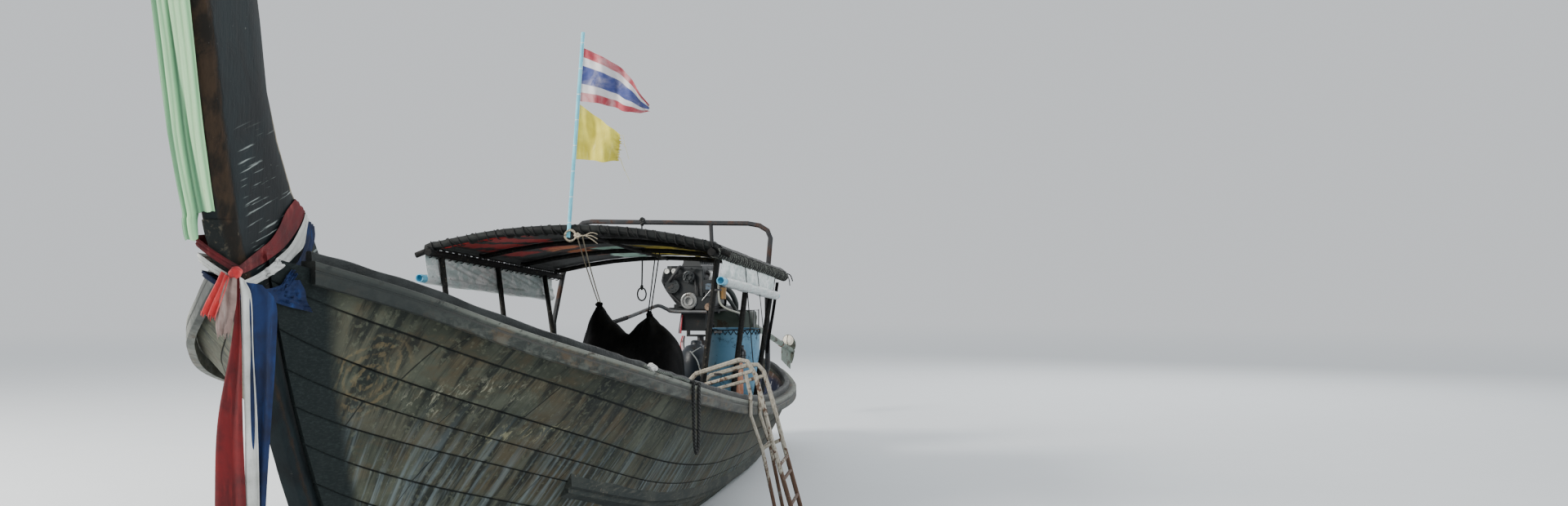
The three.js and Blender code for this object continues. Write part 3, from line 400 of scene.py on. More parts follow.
def piece(name, parts, paint, body="hull", stands_for=(), slot=None, sharp=40):
    """One object from its parts, riding on a body, in place of the solids that it stands for."""
    parts = parts if isinstance(parts, list) else [parts]
    start = np.cumsum([0] + [len(p["points"]) for p in parts])
    points = np.concatenate([p["points"] for p in parts])
    faces = np.concatenate([p["faces"] + s for p, s in zip(parts, start)])
    single = faces[:, 2] == faces[:, 3]
    swapped = faces[:, 0] == faces[:, 1]
    corners = [list(f[:3]) if one else list(f[1:]) if two else list(f)
        for f, one, two in zip(faces.tolist(), single, swapped)]
    mesh = bpy.data.meshes.new(name)
    mesh.from_pydata(points.tolist(), [], corners)
    for key in {k for p in parts for k in p["values"]}:
        data = np.concatenate([p["values"].get(key, np.zeros(len(p["points"]))) for p in parts])
        mesh.attributes.new(key, "FLOAT", "POINT").data.foreach_set("value", data.astype(np.float32))
    mesh.update()
    mesh.shade_smooth()
    mesh.set_sharp_from_angle(angle=math.radians(sharp))
    thing = bpy.data.objects.new(name, mesh)
    bpy.context.scene.collection.objects.link(thing)
    for one in paint if isinstance(paint, list) else [paint]:
        thing.data.materials.append(one)
    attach(thing, body)
    if stands_for:
        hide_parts(*([stands_for] if isinstance(stands_for, str) else stands_for))
    made[name] = thing
    return thing


def ripple(x, seed, waves=6, low=1, high=9):
    """A repeatable uneven line: a sum of sines of fixed random pitch and phase, about -1 to 1."""
    rng = np.random.default_rng(seed)
    pitch = rng.uniform(low, high, waves)
    phase = rng.uniform(0, 6.28, waves)
    weight = rng.uniform(.4, 1, waves)
    return (np.sin(np.asarray(x)[..., None] * pitch + phase) * weight).sum(-1) / weight.sum()


# %% [markdown]
# ## The hull's formula
# The planks follow one smooth surface. Along the boat, rows of guide numbers are joined
# by Catmull-Rom curves; round the girth, each row gives four points of a Bezier curve
# from the keel (t = 0) to the rail (t = 1).

# %% Hull formula
STATIONS = np.array([
    # rail x, y, z, keel x, z, and two guide points' y and z
    [4760, 116, 1760, 3400, -230, 76, 250, 76, 950],
    [4240, 480, 1590, 3050, -270, 95, 120, 230, 1000],
    [3770, 785, 1412, 2750, -295, 150, 30, 440, 985],
    [3000, 1055, 1222, 2200, -320, 330, -70, 690, 780],
    [1700, 1160, 1004, 1250, -345, 470, -230, 800, 440],
    [300, 1138, 826, 150, -355, 520, -300, 760, 230],
    [-1100, 1060, 695, -1100, -355, 520, -325, 700, 120],
    [-2300, 980, 629, -2200, -345, 480, -320, 670, 70],
    [-3300, 910, 604, -3100, -325, 430, -300, 620, 50],
    [-4000, 815, 620, -3700, -300, 360, -275, 560, 60],
    [-4550, 620, 700, -4150, -270, 240, -235, 430, 90],
    [-4820, 370, 775, -4380, -245, 140, -200, 270, 130],
    [-4925, 116, 815, -4480, -230, 76, -190, 76, 170],
]) / 1000
END = len(STATIONS) - 1
STRAKES = 12
GUIDES = np.vstack([2 * STATIONS[0] - STATIONS[1], STATIONS, 2 * STATIONS[-1] - STATIONS[-2]])
PLANK = .024
RAIL_DROP, RAIL_IN = .028, .040
KEEL_HALF = .045
KEEL_SIDE, POST_SIDE = .0453, .0505      # how far the planks' inside keeps off the centre line
POST_REACH = 1.2                         # stations that the stem and the stern post take up


def skin(w, t):
    """Outside of the port planks: Catmull-Rom over the rows in w, cubic Bezier over the girth in t."""
    w, t = np.broadcast_arrays(np.asarray(w, float), np.asarray(t, float))
    i = np.clip(np.floor(w), 0, END - 1).astype(int)
    f = (w - i)[..., None]
    row = catmull(*(GUIDES[i + k] for k in range(4)), f)
    rx, ry, rz, kx, kz, y1, z1, y2, z2 = np.moveaxis(row, -1, 0)
    u = 1 - t
    k = [u**3, 3 * t * u * u, 3 * t * t * u, t**3]
    return np.stack([k[0] * kx + k[1] * (kx + .41 * (rx - kx)) + k[2] * (kx + .84 * (rx - kx)) + k[3] * rx,
        k[0] * KEEL_HALF + k[1] * y1 + k[2] * y2 + k[3] * (ry - RAIL_IN),
        k[0] * kz + k[1] * z1 + k[2] * z2 + k[3] * (rz - RAIL_DROP)], -1)


def skin_out(w, t):
    """Unit normal of the planks, outwards."""
    e = .02
    along = skin(np.minimum(w + e, END), t) - skin(np.maximum(w - e, 0), t)
    up = skin(w, np.minimum(t + e, 1)) - skin(w, np.maximum(t - e, 0))
    n = np.cross(up, along)
    n /= np.linalg.norm(n, axis=-1, keepdims=True)
    return np.where(n[..., 1:2] < 0, -n, n)


def inside(w, t, depth):
    """A point of the planks moved inboard by a depth, kept off the stem and the keel."""
    w, t = np.broadcast_arrays(np.asarray(w, float), np.asarray(t, float))
    p = skin(w, t) - skin_out(w, t) * np.asarray(depth)[..., None]
    at_post = (w < POST_REACH) | (w > END - POST_REACH)
    least = np.where((t < .02) | at_post, POST_SIDE, KEEL_SIDE)
    p[..., 1] = np.maximum(p[..., 1], least)
    p[..., 2] = np.minimum(p[..., 2], skin(w, 1)[..., 2])
    return p


def rail_frame(w):
    """The planks' top edge, and the level direction outboard of it."""
    e = .03
    d = skin(np.minimum(w + e, END), 1) - skin(np.maximum(w - e, 0), 1)
    out = np.stack([d[..., 1], -d[..., 0], np.zeros_like(d[..., 0])], -1)
    out /= np.linalg.norm(out, axis=-1, keepdims=True)
    flip = (out[..., 1:2] < 0) & (np.asarray(w)[..., None] < END - 2)
    return skin(w, 1), np.where(flip, -out, out)


PORT, STARBOARD = 1, -1
SIDES = (("port", PORT), ("starboard", STARBOARD))


def on_side(points, side):
    return points * np.array([1, side, 1])


# The strakes' seams: each is a line of near constant girth that climbs towards the bow.
SEAM_T = np.array([0, .075, .15, .23, .31, .39, .47, .55, .637, .695, .765, .885, 1])
SEAM_CLIMB = np.array([0, .019, .038, .059, .079, .1, .12, .12, .105, .115, .115, .075, 0])


def girth(strake, w):
    """Girth fraction of a place counted in strakes from the keel."""
    seams = np.arange(STRAKES + 1)
    t0 = np.interp(strake, seams, SEAM_T)
    climb = np.interp(strake, seams, SEAM_CLIMB)
    return np.minimum(t0 + climb * np.exp(-np.asarray(w) / 1.2), 1)


# %% [markdown]
# ## Weathered plank paint
# The boat's grey-green paint has thinned to the grain. Rain and spray leave dark runs that
# hang from each seam, and each plank has kept a tone of its own. The strake number that
# every point carries gives the seams; the runs follow planes of constant x, as water does.


# %% Plank paint
def plank_paint(name, deep, mid, pale, ornament=False):
    p = Paint(name, Specular_IOR_Level=.2)
    strake = p.value("strake")
    plank = strake.floor()
    part = strake - plank
    tone = p.white(plank)
    x = p.axis(0)
    z = p.axis(2)
    slanted = x + z * .45
    block_at = (slanted + tone * 2.3) / .78
    joint = block_at.fold()
    patch_tone = p.white(block_at.floor() * 7.3 + plank)
    seam = p.step(part.fold() + p.noise((9, 9, 9)) * .012, .036, .012)
    butt = p.step(joint + p.noise((60, 60, 60)) * .003, .008, .004) * p.step(patch_tone, .3, .34)
    lines = seam.top(butt * .85)
    runs = p.noise((15, 1.5, 1.5), 5, .65, .35)
    thin_runs = p.noise((70, 2.6, 2.6), 3, .6)
    blotch = p.noise((1.5, 2, 2.6), 5, .62, .6)
    grain = p.noise((5, 120, 160), 4, .7)
    spots = p.noise((38, 38, 38), 3, .6)
    hang = p.step(part, .1, .98)
    colour = p.blend(p.step(blotch + (tone + patch_tone) * .16 - .16, .36, .66), mid, pale)
    colour = p.blend(p.step(patch_tone, .5, .9) * .3, colour, (.045, .03, .018))
    colour = p.blend(p.step(p.noise((2.6, 4, 5), 5, .68, .5) - z * .03, .42, .6) * .6, colour,
        (.075, .055, .03))
    colour = p.blend(p.step(runs + hang * .08, .5, .66) * .8, colour, deep)
    colour = p.blend(p.step(thin_runs + hang * .1, .56, .72) * .35, colour,
        (deep[0] * 1.5, deep[1] * 1.4, deep[2] * 1.3))
    colour = p.blend(p.step(spots + runs * .25, .68, .8) * .35, colour,
        (pale[0] * 1.6, pale[1] * 1.6, pale[2] * 1.5))
    low_wash = p.step(z - x * .12, .72, .2) * p.step(p.noise((26, 1.6, 1.6), 4, .6), .46, .66)
    colour = p.blend(low_wash * .6, colour, (.17, .21, .22))
    colour = p.blend(p.step(z + blotch * .12, .16, .02) * .75, colour, (.035, .05, .04))
    if ornament:
        ring = p.away((4.25, .24, 1.245), (1, .5, 1))
        coils = (ring * 150 + p.noise((11, 11, 11), 3) * 13).sine()
        faded = p.step(ring, .2, .14) * p.step(coils, -.2, .8) * p.step(p.noise((30, 14, 14), 4, .7, .5), .4,
            .58)
        colour = p.blend(faded * .45, colour, (.17, .13, .065))
        for centre, wide, tall, tint in (((3.78, .5, 1.13), 1.5, 5.6, (.42, .41, .30)),
            ((3.33, .6, .93), 1.3, 8, (.36, .34, .2))):
            patch = p.away(centre, (wide, .3, tall))
            worn = p.step(patch, .62, .2) * p.step(p.noise((30, 6, 14), 6, .75, .8), .54, .62)
            colour = p.blend(worn * .42, colour, tint)
    # Near the stem the planks turn very dark: partly dark paint, partly painted shade beside the stem post.
    # The seams fade out there.
    near_stem_paint_and_shade = p.step(p.value("row") + blotch * .16, .6, .42)
    stem_dark_paint_and_shade = p.blend(p.step(grain, .45, .7), (.007, .011, .011), (.016, .023, .022))
    colour = p.blend(near_stem_paint_and_shade, colour, stem_dark_paint_and_shade)
    lines = lines * (1 - near_stem_paint_and_shade * .85)
    colour = p.blend(lines * .9, colour, (.004, .006, .006))
    height = grain * .16 + runs * .2 + spots * .12 - lines * 1.2 + blotch * .3
    return p.done(colour, p.step(runs, .3, .8) * -.16 + .84, height, .004)


# The starboard planks are the same paint made lighter: painted sunlight on the sunlit side.
port_planks = plank_paint("port planks", (.005, .008, .008), (.036, .040, .029), (.080, .086, .062), True)
starboard_planks_painted_sunlit = plank_paint("starboard planks painted sunlit", (.03, .035, .03), (.085, .09, .065), (.15, .15, .11))


# %% [markdown]
# ## Planks
# Twelve strakes a side, edge to edge. Each has a shallow groove where the caulking has
# sunk between it and the next, so the seams catch the light as real ones do.

# %% Planks
ACROSS = np.array([0, .018, .05, .12, .3, .5, .7, .88, .95, .982])
GROOVE = np.array([.006, .0035, .0006, 0, -.0004, -.0006, -.0004, 0, .0006, .0035])
COLUMNS = np.linspace(0, END, END * 14 + 1)
for name, low, high in (("bottom_planking", 0, 6), ("side_planking", 6, 10), ("sheer_planking", 10, STRAKES)):
    strake = np.concatenate([(np.arange(low, high)[:, None] + ACROSS).ravel(), [high]])
    groove = np.concatenate([np.tile(GROOVE, high - low), [.006]])
    if high == STRAKES:      # the top edge has no groove
        groove[-3:] = 0
    w = COLUMNS[:, None]
    t = girth(strake[None, :], w)
    outer = inside(w, t, np.broadcast_to(groove, t.shape))
    inner = inside(w, t, np.full(t.shape, PLANK))
    for label, side in SIDES:
        values = dict(strake=np.broadcast_to(np.clip(strake, low + .001, high - .001), t.shape),
            row=np.broadcast_to(w, t.shape))
        piece(f"{name}_{label}_skin", slab(on_side(outer, side), on_side(inner, side), **values),
            port_planks if side == PORT else starboard_planks_painted_sunlit, stands_for=f"{name}_{label}", slot="hull_wood",
            sharp=60)
print("plank pieces:", sum("planking" in n for n in made))


# %% [markdown]
# ## Finishes for wood, metal, cloth and rope
# Each is a short sum in the manner of the planks' paint. Where a solid's own shape is
# right, it keeps it and only takes the finish.


# %% More finishes
def wood_paint(name, deep, mid, pale, lay=(3, 40, 40), worn=.5, rough=.85, chips=(.3, .24, .17)):
    """Old paint or bare wood with grain along the small scale of lay, stains and chips."""
    p = Paint(name, Specular_IOR_Level=.3)
    grain = p.noise(lay, 5, .7, .3)
    blotch = p.noise((2.2, 2.2, 2.6), 5, .6, .5)
    spots = p.noise((48, 48, 48), 3, .6)
    colour = p.blend(p.step(blotch, .38, .64), deep, mid)
    colour = p.blend(p.step(grain, .5, .72) * .7, colour, pale)
    colour = p.blend(p.step(grain, .42, .3) * .6, colour, tuple(c * .45 for c in deep))
    colour = p.blend(p.step(spots + blotch * .3, .78, .9) * worn, colour, chips)
    return p.done(colour, blotch * .2 + (rough - .1), grain * .5 + spots * .2, .003)


def metal_paint(name, base, rust=(.16, .06, .025), share=.5, metallic=.0, rough=.5, pale=None):
    """Painted or bare metal with rust blooming out of spots."""
    p = Paint(name)
    bloom = p.noise((9, 9, 9), 6, .7, .4)
    fine = p.noise((70, 70, 70), 4, .65)
    dirt = p.noise((3, 3, 5), 4, .6)
    bad = p.step(bloom + fine * .25, .62 - .18 * share + .1, .74 - .18 * share + .1)
    colour = p.blend(p.step(dirt, .35, .7) * .6, base, pale or tuple(c * .6 for c in base))
    colour = p.blend(bad, colour, p.blend(fine, rust, tuple(c * .4 for c in rust)))
    return p.done(colour, bad * .35 + rough, fine * bad * .6 + bloom * .2, .0016,
        Metallic=(1 - bad) * metallic)


def cloth_paint(name, deep, base, pale=None, pitch=900, stain=(.05, .05, .045), dirty=.4, rough=.85, **fixed):
    """Woven cloth: a fine weave across and along, faded folds and dirt."""
    p = Paint(name, **{"Sheen_Weight": .15, **fixed})
    weave = p.weave(pitch)
    fade = p.noise((5, 5, 5), 5, .6, .5)
    streak = p.noise((30, 30, 4), 4, .6)
    colour = p.blend(p.step(fade, .36, .66), deep, base)
    if pale:
        colour = p.blend(p.step(streak, .5, .75) * .6, colour, pale)
    colour = p.blend(p.step(p.noise((12, 12, 12), 5, .7), .56, .74) * dirty, colour, stain)
    return p.done(colour, rough, weave * .25 + streak * .6 + fade * .4, .0016)


def rope_paint(name, deep, base, pitch=330):
    """Laid rope: strands that run round it in a slow screw; v is the length along it and u its turn."""
    p = Paint(name, Specular_IOR_Level=.2)
    lay = (p.value("v") * pitch + p.value("u") * 18.85).sine()
    dirt = p.noise((16, 16, 16), 4, .65)
    # The grooves between the strands take the deeper tone: painted shade.
    colour = p.blend(p.step(lay, -.9, .5), deep, base)
    colour = p.blend(p.step(dirt, .45, .7) * .5, colour, tuple(c * .45 for c in base))
    return p.done(colour, .9, lay * .7 + p.noise((160, 160, 160)) * .4, .0024)


def finish(names, look):
    """Gives the solids that keep their own shape a finish."""
    for name in [names] if isinstance(names, str) else names:
        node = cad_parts[name]
        if not node.material_slots:
            node.data.materials.append(look)
        for place in node.material_slots:
            place.material = look


def rope_tube(path, radius, sides=10, up=(0, 0, 1)):
    """A round rope with its turn and length carried for the finish."""
    path = np.asarray(path, float)
    run = distances(path)
    part = tube(path, radius, sides, up)
    rows = len(path)
    turn = np.tile(np.arange(sides) / sides, rows)
    part["values"] = {"u": np.concatenate([turn, [0, 0]]), "v": np.concatenate([np.repeat(run, sides),
        [0, run[-1]]])}
    return part


def cable(points, count, radius, sides=10, up=(0, 0, 1)):
    """A round line on the smooth curve through a few points."""
    return rope_tube(curve(points, count), radius, sides, up)


def rod(start, end, count, radius, sides):
    """A straight round line."""
    return rope_tube(np.linspace(start, end, count), radius, sides)


def cords(name, parts, look):
    """A piece of rope."""
    return piece(name, parts, look, slot="rope", sharp=80)


def cloth_part(grid, thick=.0015, ring=False, **values):
    """A sheet through a grid of points, with its own metres along both ways as u and v."""
    rows, cols = grid.shape[:2]
    du = np.linalg.norm(np.diff(grid, axis=1), axis=2).mean(0)
    dv = np.linalg.norm(np.diff(grid, axis=0), axis=2).mean(1)
    u = np.broadcast_to(np.concatenate([[0], np.cumsum(du)])[None, :], (rows, cols))
    v = np.broadcast_to(np.concatenate([[0], np.cumsum(dv)])[:, None], (rows, cols))
    n = normals(grid, ring)
    return slab(grid + n * thick / 2, grid - n * thick / 2, ring, u=u, v=v, **values)


def declare(grid, fullness=None):
    """Measures a sheet: its widest row, its longest column and the area of its quads, and keeps none of them.

    A ribbon that tapers or bunches up gives a fullness, and its declared width is cut
    until its area is that share.
    """
    wide = float(np.linalg.norm(np.diff(grid, axis=1), axis=2).sum(1).max())
    long = float(np.linalg.norm(np.diff(grid, axis=0), axis=2).sum(0).max())
    a, b, c, d = grid[:-1, :-1], grid[:-1, 1:], grid[1:, 1:], grid[1:, :-1]
    area = float(.5 * np.linalg.norm(np.cross(c - a, d - b), axis=2).sum())
    if fullness:
        wide = min(wide, area / long / fullness)


def cloth_piece(name, grid, paint, held, rests_on, thick=.0015, ring=False, **more):
    """One declared sheet of cloth from one grid of points; its declared width may be cut."""
    thing = piece(name, cloth_part(grid, thick, ring), paint, sharp=70, **more)
    declare(np.concatenate([grid, grid[:, :1]], 1) if ring else grid, fullness=.4)


dark_wood = wood_paint("dark hull wood", (.02, .026, .024), (.045, .05, .042), (.09, .09, .07), (4, 60, 60))
inner_look = wood_paint("inner wood", (.075, .055, .035), (.14, .105, .07), (.24, .19, .13), (5, 50, 60), .4)
deck_look = wood_paint("blue deck paint", (.010, .02, .045), (.022, .04, .08), (.06, .09, .12), (6, 60, 60),
    .9, chips=(.5, .52, .52))
pole_look = wood_paint("canopy poles", (.003, .003, .003), (.010, .010, .009), (.04, .036, .03), (9, 60, 60),
    .3)
rust_look = metal_paint("rusty steel", (.022, .023, .025), (.07, .032, .02), .45, .3, .5, (.05, .05, .052))
engine_look = metal_paint("engine iron", (.006, .008, .009), (.04, .022, .014), .15, .3, .5,
    (.022, .026, .028))
bright_look = metal_paint("bright metal", (.62, .62, .6), (.3, .2, .12), .2, .9, .3, (.42, .42, .42))
black_look = metal_paint("black rubber", (.012, .012, .013), (.03, .03, .03), .2, 0, .6, (.03, .03, .032))
tube_look = metal_paint("green tube paint", (.07, .10, .08), (.06, .045, .03), .4, 0, .6, (.13, .16, .13))
bronze_look = metal_paint("bronze", (.06, .075, .05), (.05, .05, .035), .5, .4, .5, (.045, .06, .045))
pale_rope = rope_paint("pale rope", (.32, .27, .19), (.62, .55, .42))
white_rope = rope_paint("white rope", (.4, .4, .38), (.75, .74, .7))
dark_rope = rope_paint("dark rope", (.012, .013, .014), (.05, .05, .048))
finish(["keel", "stern_post", "bilge_strake_port", "bilge_strake_starboard"], dark_wood)
finish(["frames", "floorboards", "thwarts", "aft_bulkhead", "drum_shelf"], inner_look)
finish(["foredeck", "aft_deck"], deck_look)
finish(["canopy_side_port", "canopy_side_starboard", "canopy_bows"], pole_look)
finish(["engine_cradle", "engine_block", "engine_front_gear"], engine_look)
finish(["engine_pedestal", "swivel_yoke", "roof_rail"], rust_look)
finish("shaft_tube", tube_look)
finish("propeller", bronze_look)
print("finishes:", len(bpy.data.materials))

# %% [markdown]
# ## Rope over the rail
# A loop of old rope leaves the coaming, goes over the cap, hangs outside the planks and
# comes back. Its path repeats the solid's table: along the boat, out from the cap's edge
# and up from its top.

# %% Rail rope
ROPE_X, ROPE_R = 2.08, .009
REST = ROPE_R * math.cos(math.radians(22.5)) + .0012
ROPE_LINE = np.array([(.040, -.050, REST), (.042, -.020, REST), (.044, REST, REST), (.045, REST, -.008),
    (.042, REST, -.080), (.038, REST, -.180), (.028, REST, -.270), (.008, REST, -.340), (-.020, REST, -.362),
    (-.050, REST, -.340), (-.064, REST, -.270), (-.070, REST, -.180), (-.072, REST, -.080),
    (-.074, REST, -.008), (-.075, REST, REST), (-.076, -.020, REST), (-.078, -.050, REST)])
RAIL_W = np.linspace(.17, END - .03, 700)
CAP_OUT, CAP_TOP = .04, .028
POST_GAP, HALF_BEAM = .051, 1.160        # the rails' least and greatest distance from the centre line


def cap_edge(x):
    """The cap's outer top edge on the port side at a place along the boat."""
    base, out = rail_frame(RAIL_W)
    edge = base + out * CAP_OUT
    keep = RAIL_W < 9.5      # ahead of the stern's turn
    return (np.interp(x, edge[keep][::-1, 0], edge[keep][::-1, 1]),
        np.interp(x, edge[keep][::-1, 0], edge[keep][::-1, 2]) + CAP_TOP)


rope_y, rope_z = cap_edge(ROPE_X + ROPE_LINE[:, 0])
rope_path = curve(np.column_stack([ROPE_X + ROPE_LINE[:, 0], rope_y + ROPE_LINE[:, 1],
    rope_z + ROPE_LINE[:, 2]]), 129)
rope_loop = piece("rail_rope_laid", rope_tube(rope_path, ROPE_R, 12, (1, 0, .01)), dark_rope,
    stands_for="rail_rope", slot="rope", sharp=80)

# %% [markdown]
# ## Rails
# The cap and the rub strake are one moulding carried along the planks' top edge. The
# coaming above it is old tarred wood, lumpy from wear and paint.


# %% Rails
def rail_moulding(profile, w, uneven=None):
    """A profile of (outboard, up) carried along the rail, kept off the centre line."""
    base, out = rail_frame(w)
    p = np.asarray(profile)[None, :, :]
    if uneven is not None:
        p = p + uneven
    grid = base[:, None] + out[:, None] * p[..., :1] + np.array([0, 0, 1]) * p[..., 1:]
    grid[..., 1] = np.clip(grid[..., 1], POST_GAP, HALF_BEAM)
    return grid


CAP = np.array([(-66, .3), (-66, 26), (-64, 28), (-40, 28), (-22, 28), (8, 28), (31, 28), (37, 26.5),
    (40, 23), (40, 6), (40, -4), (37.5, -7), (37.5, -12), (40, -15), (40, -34), (40, -55), (38.5, -60),
    (34, -62), (5, -62), (5, -30), (5, .3)]) / 1000
LIP = np.array([(-66, 28.3), (-66, 50), (-65, 70), (-60, 76), (-44, 76.5), (-28, 76), (-23, 71), (-22, 50),
    (-22, 28.3)]) / 1000


def rail_paint(name, deep, base, lit):
    p = Paint(name, Specular_IOR_Level=.35)
    band = p.value("band")
    streak = p.noise((3, 30, 30), 5, .68, .4)
    grime = p.noise((8, 8, 14), 5, .65, .4)
    fine = p.noise((60, 60, 60), 3, .6)
    colour = p.blend(p.step(streak, .35, .66), deep, base)
    colour = p.blend(p.step(grime, .48, .66) * .6, colour, tuple(c * .35 for c in base))
    colour = p.blend(p.step(p.noise((5, 12, 12), 5, .7), .5, .64) * .4, colour, (.12, .075, .035))
    # The cap's top and outer corner take the lit tone: a painted highlight.
    upper = p.step(band, 4.4, 5.4) * p.step(band, 9.3, 8.4)
    colour = p.blend(upper * p.step(streak + fine * .2, .42, .56) * .9, colour, lit)
    # The lower face of the rub strake is partly lit as well: painted light.
    low = p.step(band, 12.5, 15.5) * p.step(band, 18.5, 17)
    colour = p.blend(low * p.step(streak, .45, .62) * .5, colour, tuple(c * .6 for c in lit))
    # The groove between the cap and the rub strake is darkened: painted shade in the recess.
    groove = p.step(band, 9.7, 10.6) * p.step(band, 13.4, 12.6)
    colour = p.blend(groove * .85, colour, (.05, .05, .045))
    colour = p.blend(p.step(fine + grime * .4, .78, .9) * .6, colour, (.07, .05, .035))
    colour = p.blend(p.step(p.axis(0), 3.85, 4.34) * .85, colour, (.012, .016, .015))
    return p.done(colour, grime * .2 + .6, streak * .4 + fine * .2, .002)


def coaming_paint():
    p = Paint("tarred coaming", Specular_IOR_Level=.35)
    lump = p.noise((26, 26, 26), 5, .62, .5)
    long = p.noise((3.2, 9, 9), 4, .6)
    colour = p.blend(p.step(long, .38, .66), (.008, .010, .010), (.022, .026, .025))
    colour = p.blend(p.step(lump, .58, .75) * .5, colour, (.035, .036, .032))
    colour = p.blend(p.step(p.noise((60, 60, 60), 3), .68, .8) * .3, colour, (.10, .10, .085))
    return p.done(colour, lump * .3 + .5, lump + p.noise((90, 90, 90)) * .4, .006)


# The starboard rail is a lighter copy of the port paint: painted sunlight on the sunlit side.
rail_looks = {
    "port": rail_paint("port rail paint", (.018, .022, .019), (.05, .056, .046), (.15, .16, .135)),
    "starboard": rail_paint("starboard rail paint painted sunlit", (.10, .11, .10), (.20, .21, .19), (.32, .33, .30)),
}
lip_look = coaming_paint()
for label, side in SIDES:
    w = np.linspace(.27, END - .02, 260)
    grid = on_side(rail_moulding(CAP, w), side)
    band = np.broadcast_to(np.arange(len(CAP)), grid.shape[:2])
    piece(f"gunwale_{label}_moulding", lofted(grid, band=band), rail_looks[label],
        stands_for=f"gunwale_{label}", slot="rail_wood", sharp=35)
    w = np.linspace(.3, END - 1.4, 420)
    run = distances(skin(w, 1))
    lumps = np.zeros((len(w), len(LIP), 2))
    for k in range(2, 7):
        lumps[:, k, 0] = ripple(run, 40 + k, 8, 5, 26) * .004
        lumps[:, k, 1] = ripple(run, 60, 8, 4, 26) * .008 - .003
    piece(f"coaming_{label}_tarred", lofted(on_side(rail_moulding(LIP, w, lumps), side)), lip_look,
        stands_for=f"coaming_{label}", slot="coaming_wood", sharp=50)

# %% [markdown]
# ## Stem post
# The tall prow is one curved baulk. Its front corners have been knocked down to bare brown
# wood, and the lower part is doubled by a rougher piece that ends in a small ledge.

# %% Stem post
STEM = np.array([
    # z, front, start of the flat side, back, half width
    (3100, 5440, 5400, 4985, 86), (2850, 5340, 5305, 4900, 86), (2610, 5266, 5240, 4828, 83),
    (2350, 5200, 5162, 4758, 76), (2165, 5150, 5099, 4655, 69), (1977, 5096, 5020, 4515, 61),
    (1812, 5040, 4935, 4312, 54), (1720, 4980, 4890, 4230, 50), (1450, 4800, 4725, 4120, 50),
    (1150, 4618, 4545, 4060, 50), (850, 4446, 4370, 3960, 50), (400, 4150, 4090, 3700, 50),
    (50, 3850, 3800, 3420, 50), (-260, 3480, 3430, 3150, 50)]) / 1000


def stem_at(z):
    """Front, side start, back and half width of the post at a height."""
    return [np.interp(z, STEM[::-1, 0], STEM[::-1, k]) for k in range(1, 5)]


def stem_paint():
    p = Paint("prow paint", Specular_IOR_Level=.2)
    edge = p.value("edge")
    z = p.axis(2)
    blotch = p.noise((5, 5, 3), 5, .65, .5)
    chips = p.noise((14, 14, 9), 5, .72, .8)
    fine = p.noise((90, 90, 60), 4, .65)
    grain = p.noise((60, 60, 5), 4, .65)
    colour = p.blend(p.step(blotch, .36, .66), (.002, .004, .005), (.006, .012, .014))
    scratch = p.noise((5, 9, 120), 3, .5, .1, turn=(0, -.3, 0))
    colour = p.blend(p.step(scratch, .62, .7) * p.step(z, 2.25, 2.1) * p.step(edge, .10, .16) * .7, colour,
        (.30, .34, .32))
    wide = p.step(edge + chips * .06 + p.step(z, 1.62, 1.5) * .045, .095, .06)
    brown = p.blend(grain, (.012, .008, .005), (.052, .031, .017))
    colour = p.blend(wide * .95, colour, brown)
    colour = p.blend(wide * p.step(blotch + chips * .3, .58, .72) * .85, colour, (.006, .006, .005))
    colour = p.blend(wide * p.step(chips, .64, .7) * .8, colour, (.4, .33, .24))
    rear = p.value("rear")
    colour = p.blend(p.step(rear + chips * .03, .034, .012) * p.step(z, 1.9, 1.95) * p.step(z, 2.32,
        2.2) * .75, colour, (.42, .36, .25))
    low = p.step(z, 1.872, 1.862)
    speck = p.noise((44, 44, 44), 4, .7)
    rough_wood = p.blend(p.step(speck, .52, .7), (.006, .008, .007), (.075, .065, .045))
    face = p.step(p.value("front"), .075, .03)
    colour = p.blend(low * face * p.step(z, 1.5, 1.8) * .8, colour, rough_wood)
    colour = p.blend(p.step(speck + fine * .3, .84, .95) * .4, colour, (.3, .3, .26))
    return p.done(colour, wide * .2 + .58 + blotch * .15, chips * .5 + grain * .3 + wide * -.8, .004)


Z = np.concatenate([np.linspace(3.1, 1.872, 84), [1.864, 1.862], np.linspace(1.85, -.26, 96)])
front, flat, back, half = stem_at(Z)
proud = np.where(Z < 1.863, .005, 0)
nose = np.array([(0, 0), (0, .35), (.02, .5), (.55, .86), (.85, .97), (1, 1)])
aft = np.linspace(0, 1, 9)[1:]
fx = np.concatenate([front[:, None] + (flat - front)[:, None] * nose[:, 0],
    flat[:, None] + (back - flat)[:, None] * aft], 1)
fy = np.concatenate([half[:, None] * nose[:, 1], np.repeat(half[:, None], 8, 1)], 1)
fx[:, -1] -= .002
fy[:, -1] -= .008
fx[:, :5] += proud[:, None]
fy[:, 2:5] += proud[:, None] * .5
wear = ripple(Z * 7, 5, 8, 2, 12)[:, None] * np.array([0, .2, 1, 1, .4, 0]) * .0022
fx[:, :6] -= np.abs(wear)
half_ring = np.stack([fx, fy, np.broadcast_to(Z[:, None], fx.shape)], -1)
rings = np.concatenate([half_ring, on_side(half_ring[:, ::-1], -1)[:, :-1]], 1)
side_run = np.concatenate([np.zeros((len(Z), 1)), np.cumsum(np.hypot(np.diff(fx, axis=1),
    np.diff(fy, axis=1)), 1)], 1)
corner = np.abs(side_run - side_run[:, 3:4])
# Distances round the post: from the front corner, from the back and from the front.
runs = {name: np.concatenate([run, run[:, ::-1][:, :-1]], 1) for name, run in (("edge", corner),
    ("rear", side_run[:, -1:] - side_run), ("front", side_run))}
piece("stem_post_worn", lofted(rings, **runs), stem_paint(), stands_for="stem_post", slot="prow_wood",
    sharp=32)

# %% [markdown]
# ## Sashes
# Three long ribbons go round the prow and are knotted in front, and their tails hang. Each
# band is a sheet between two measured edge lines, with small folds along it. The numbers
# are its distance from the centre line, and its upper and lower edges as (x, z) to port.

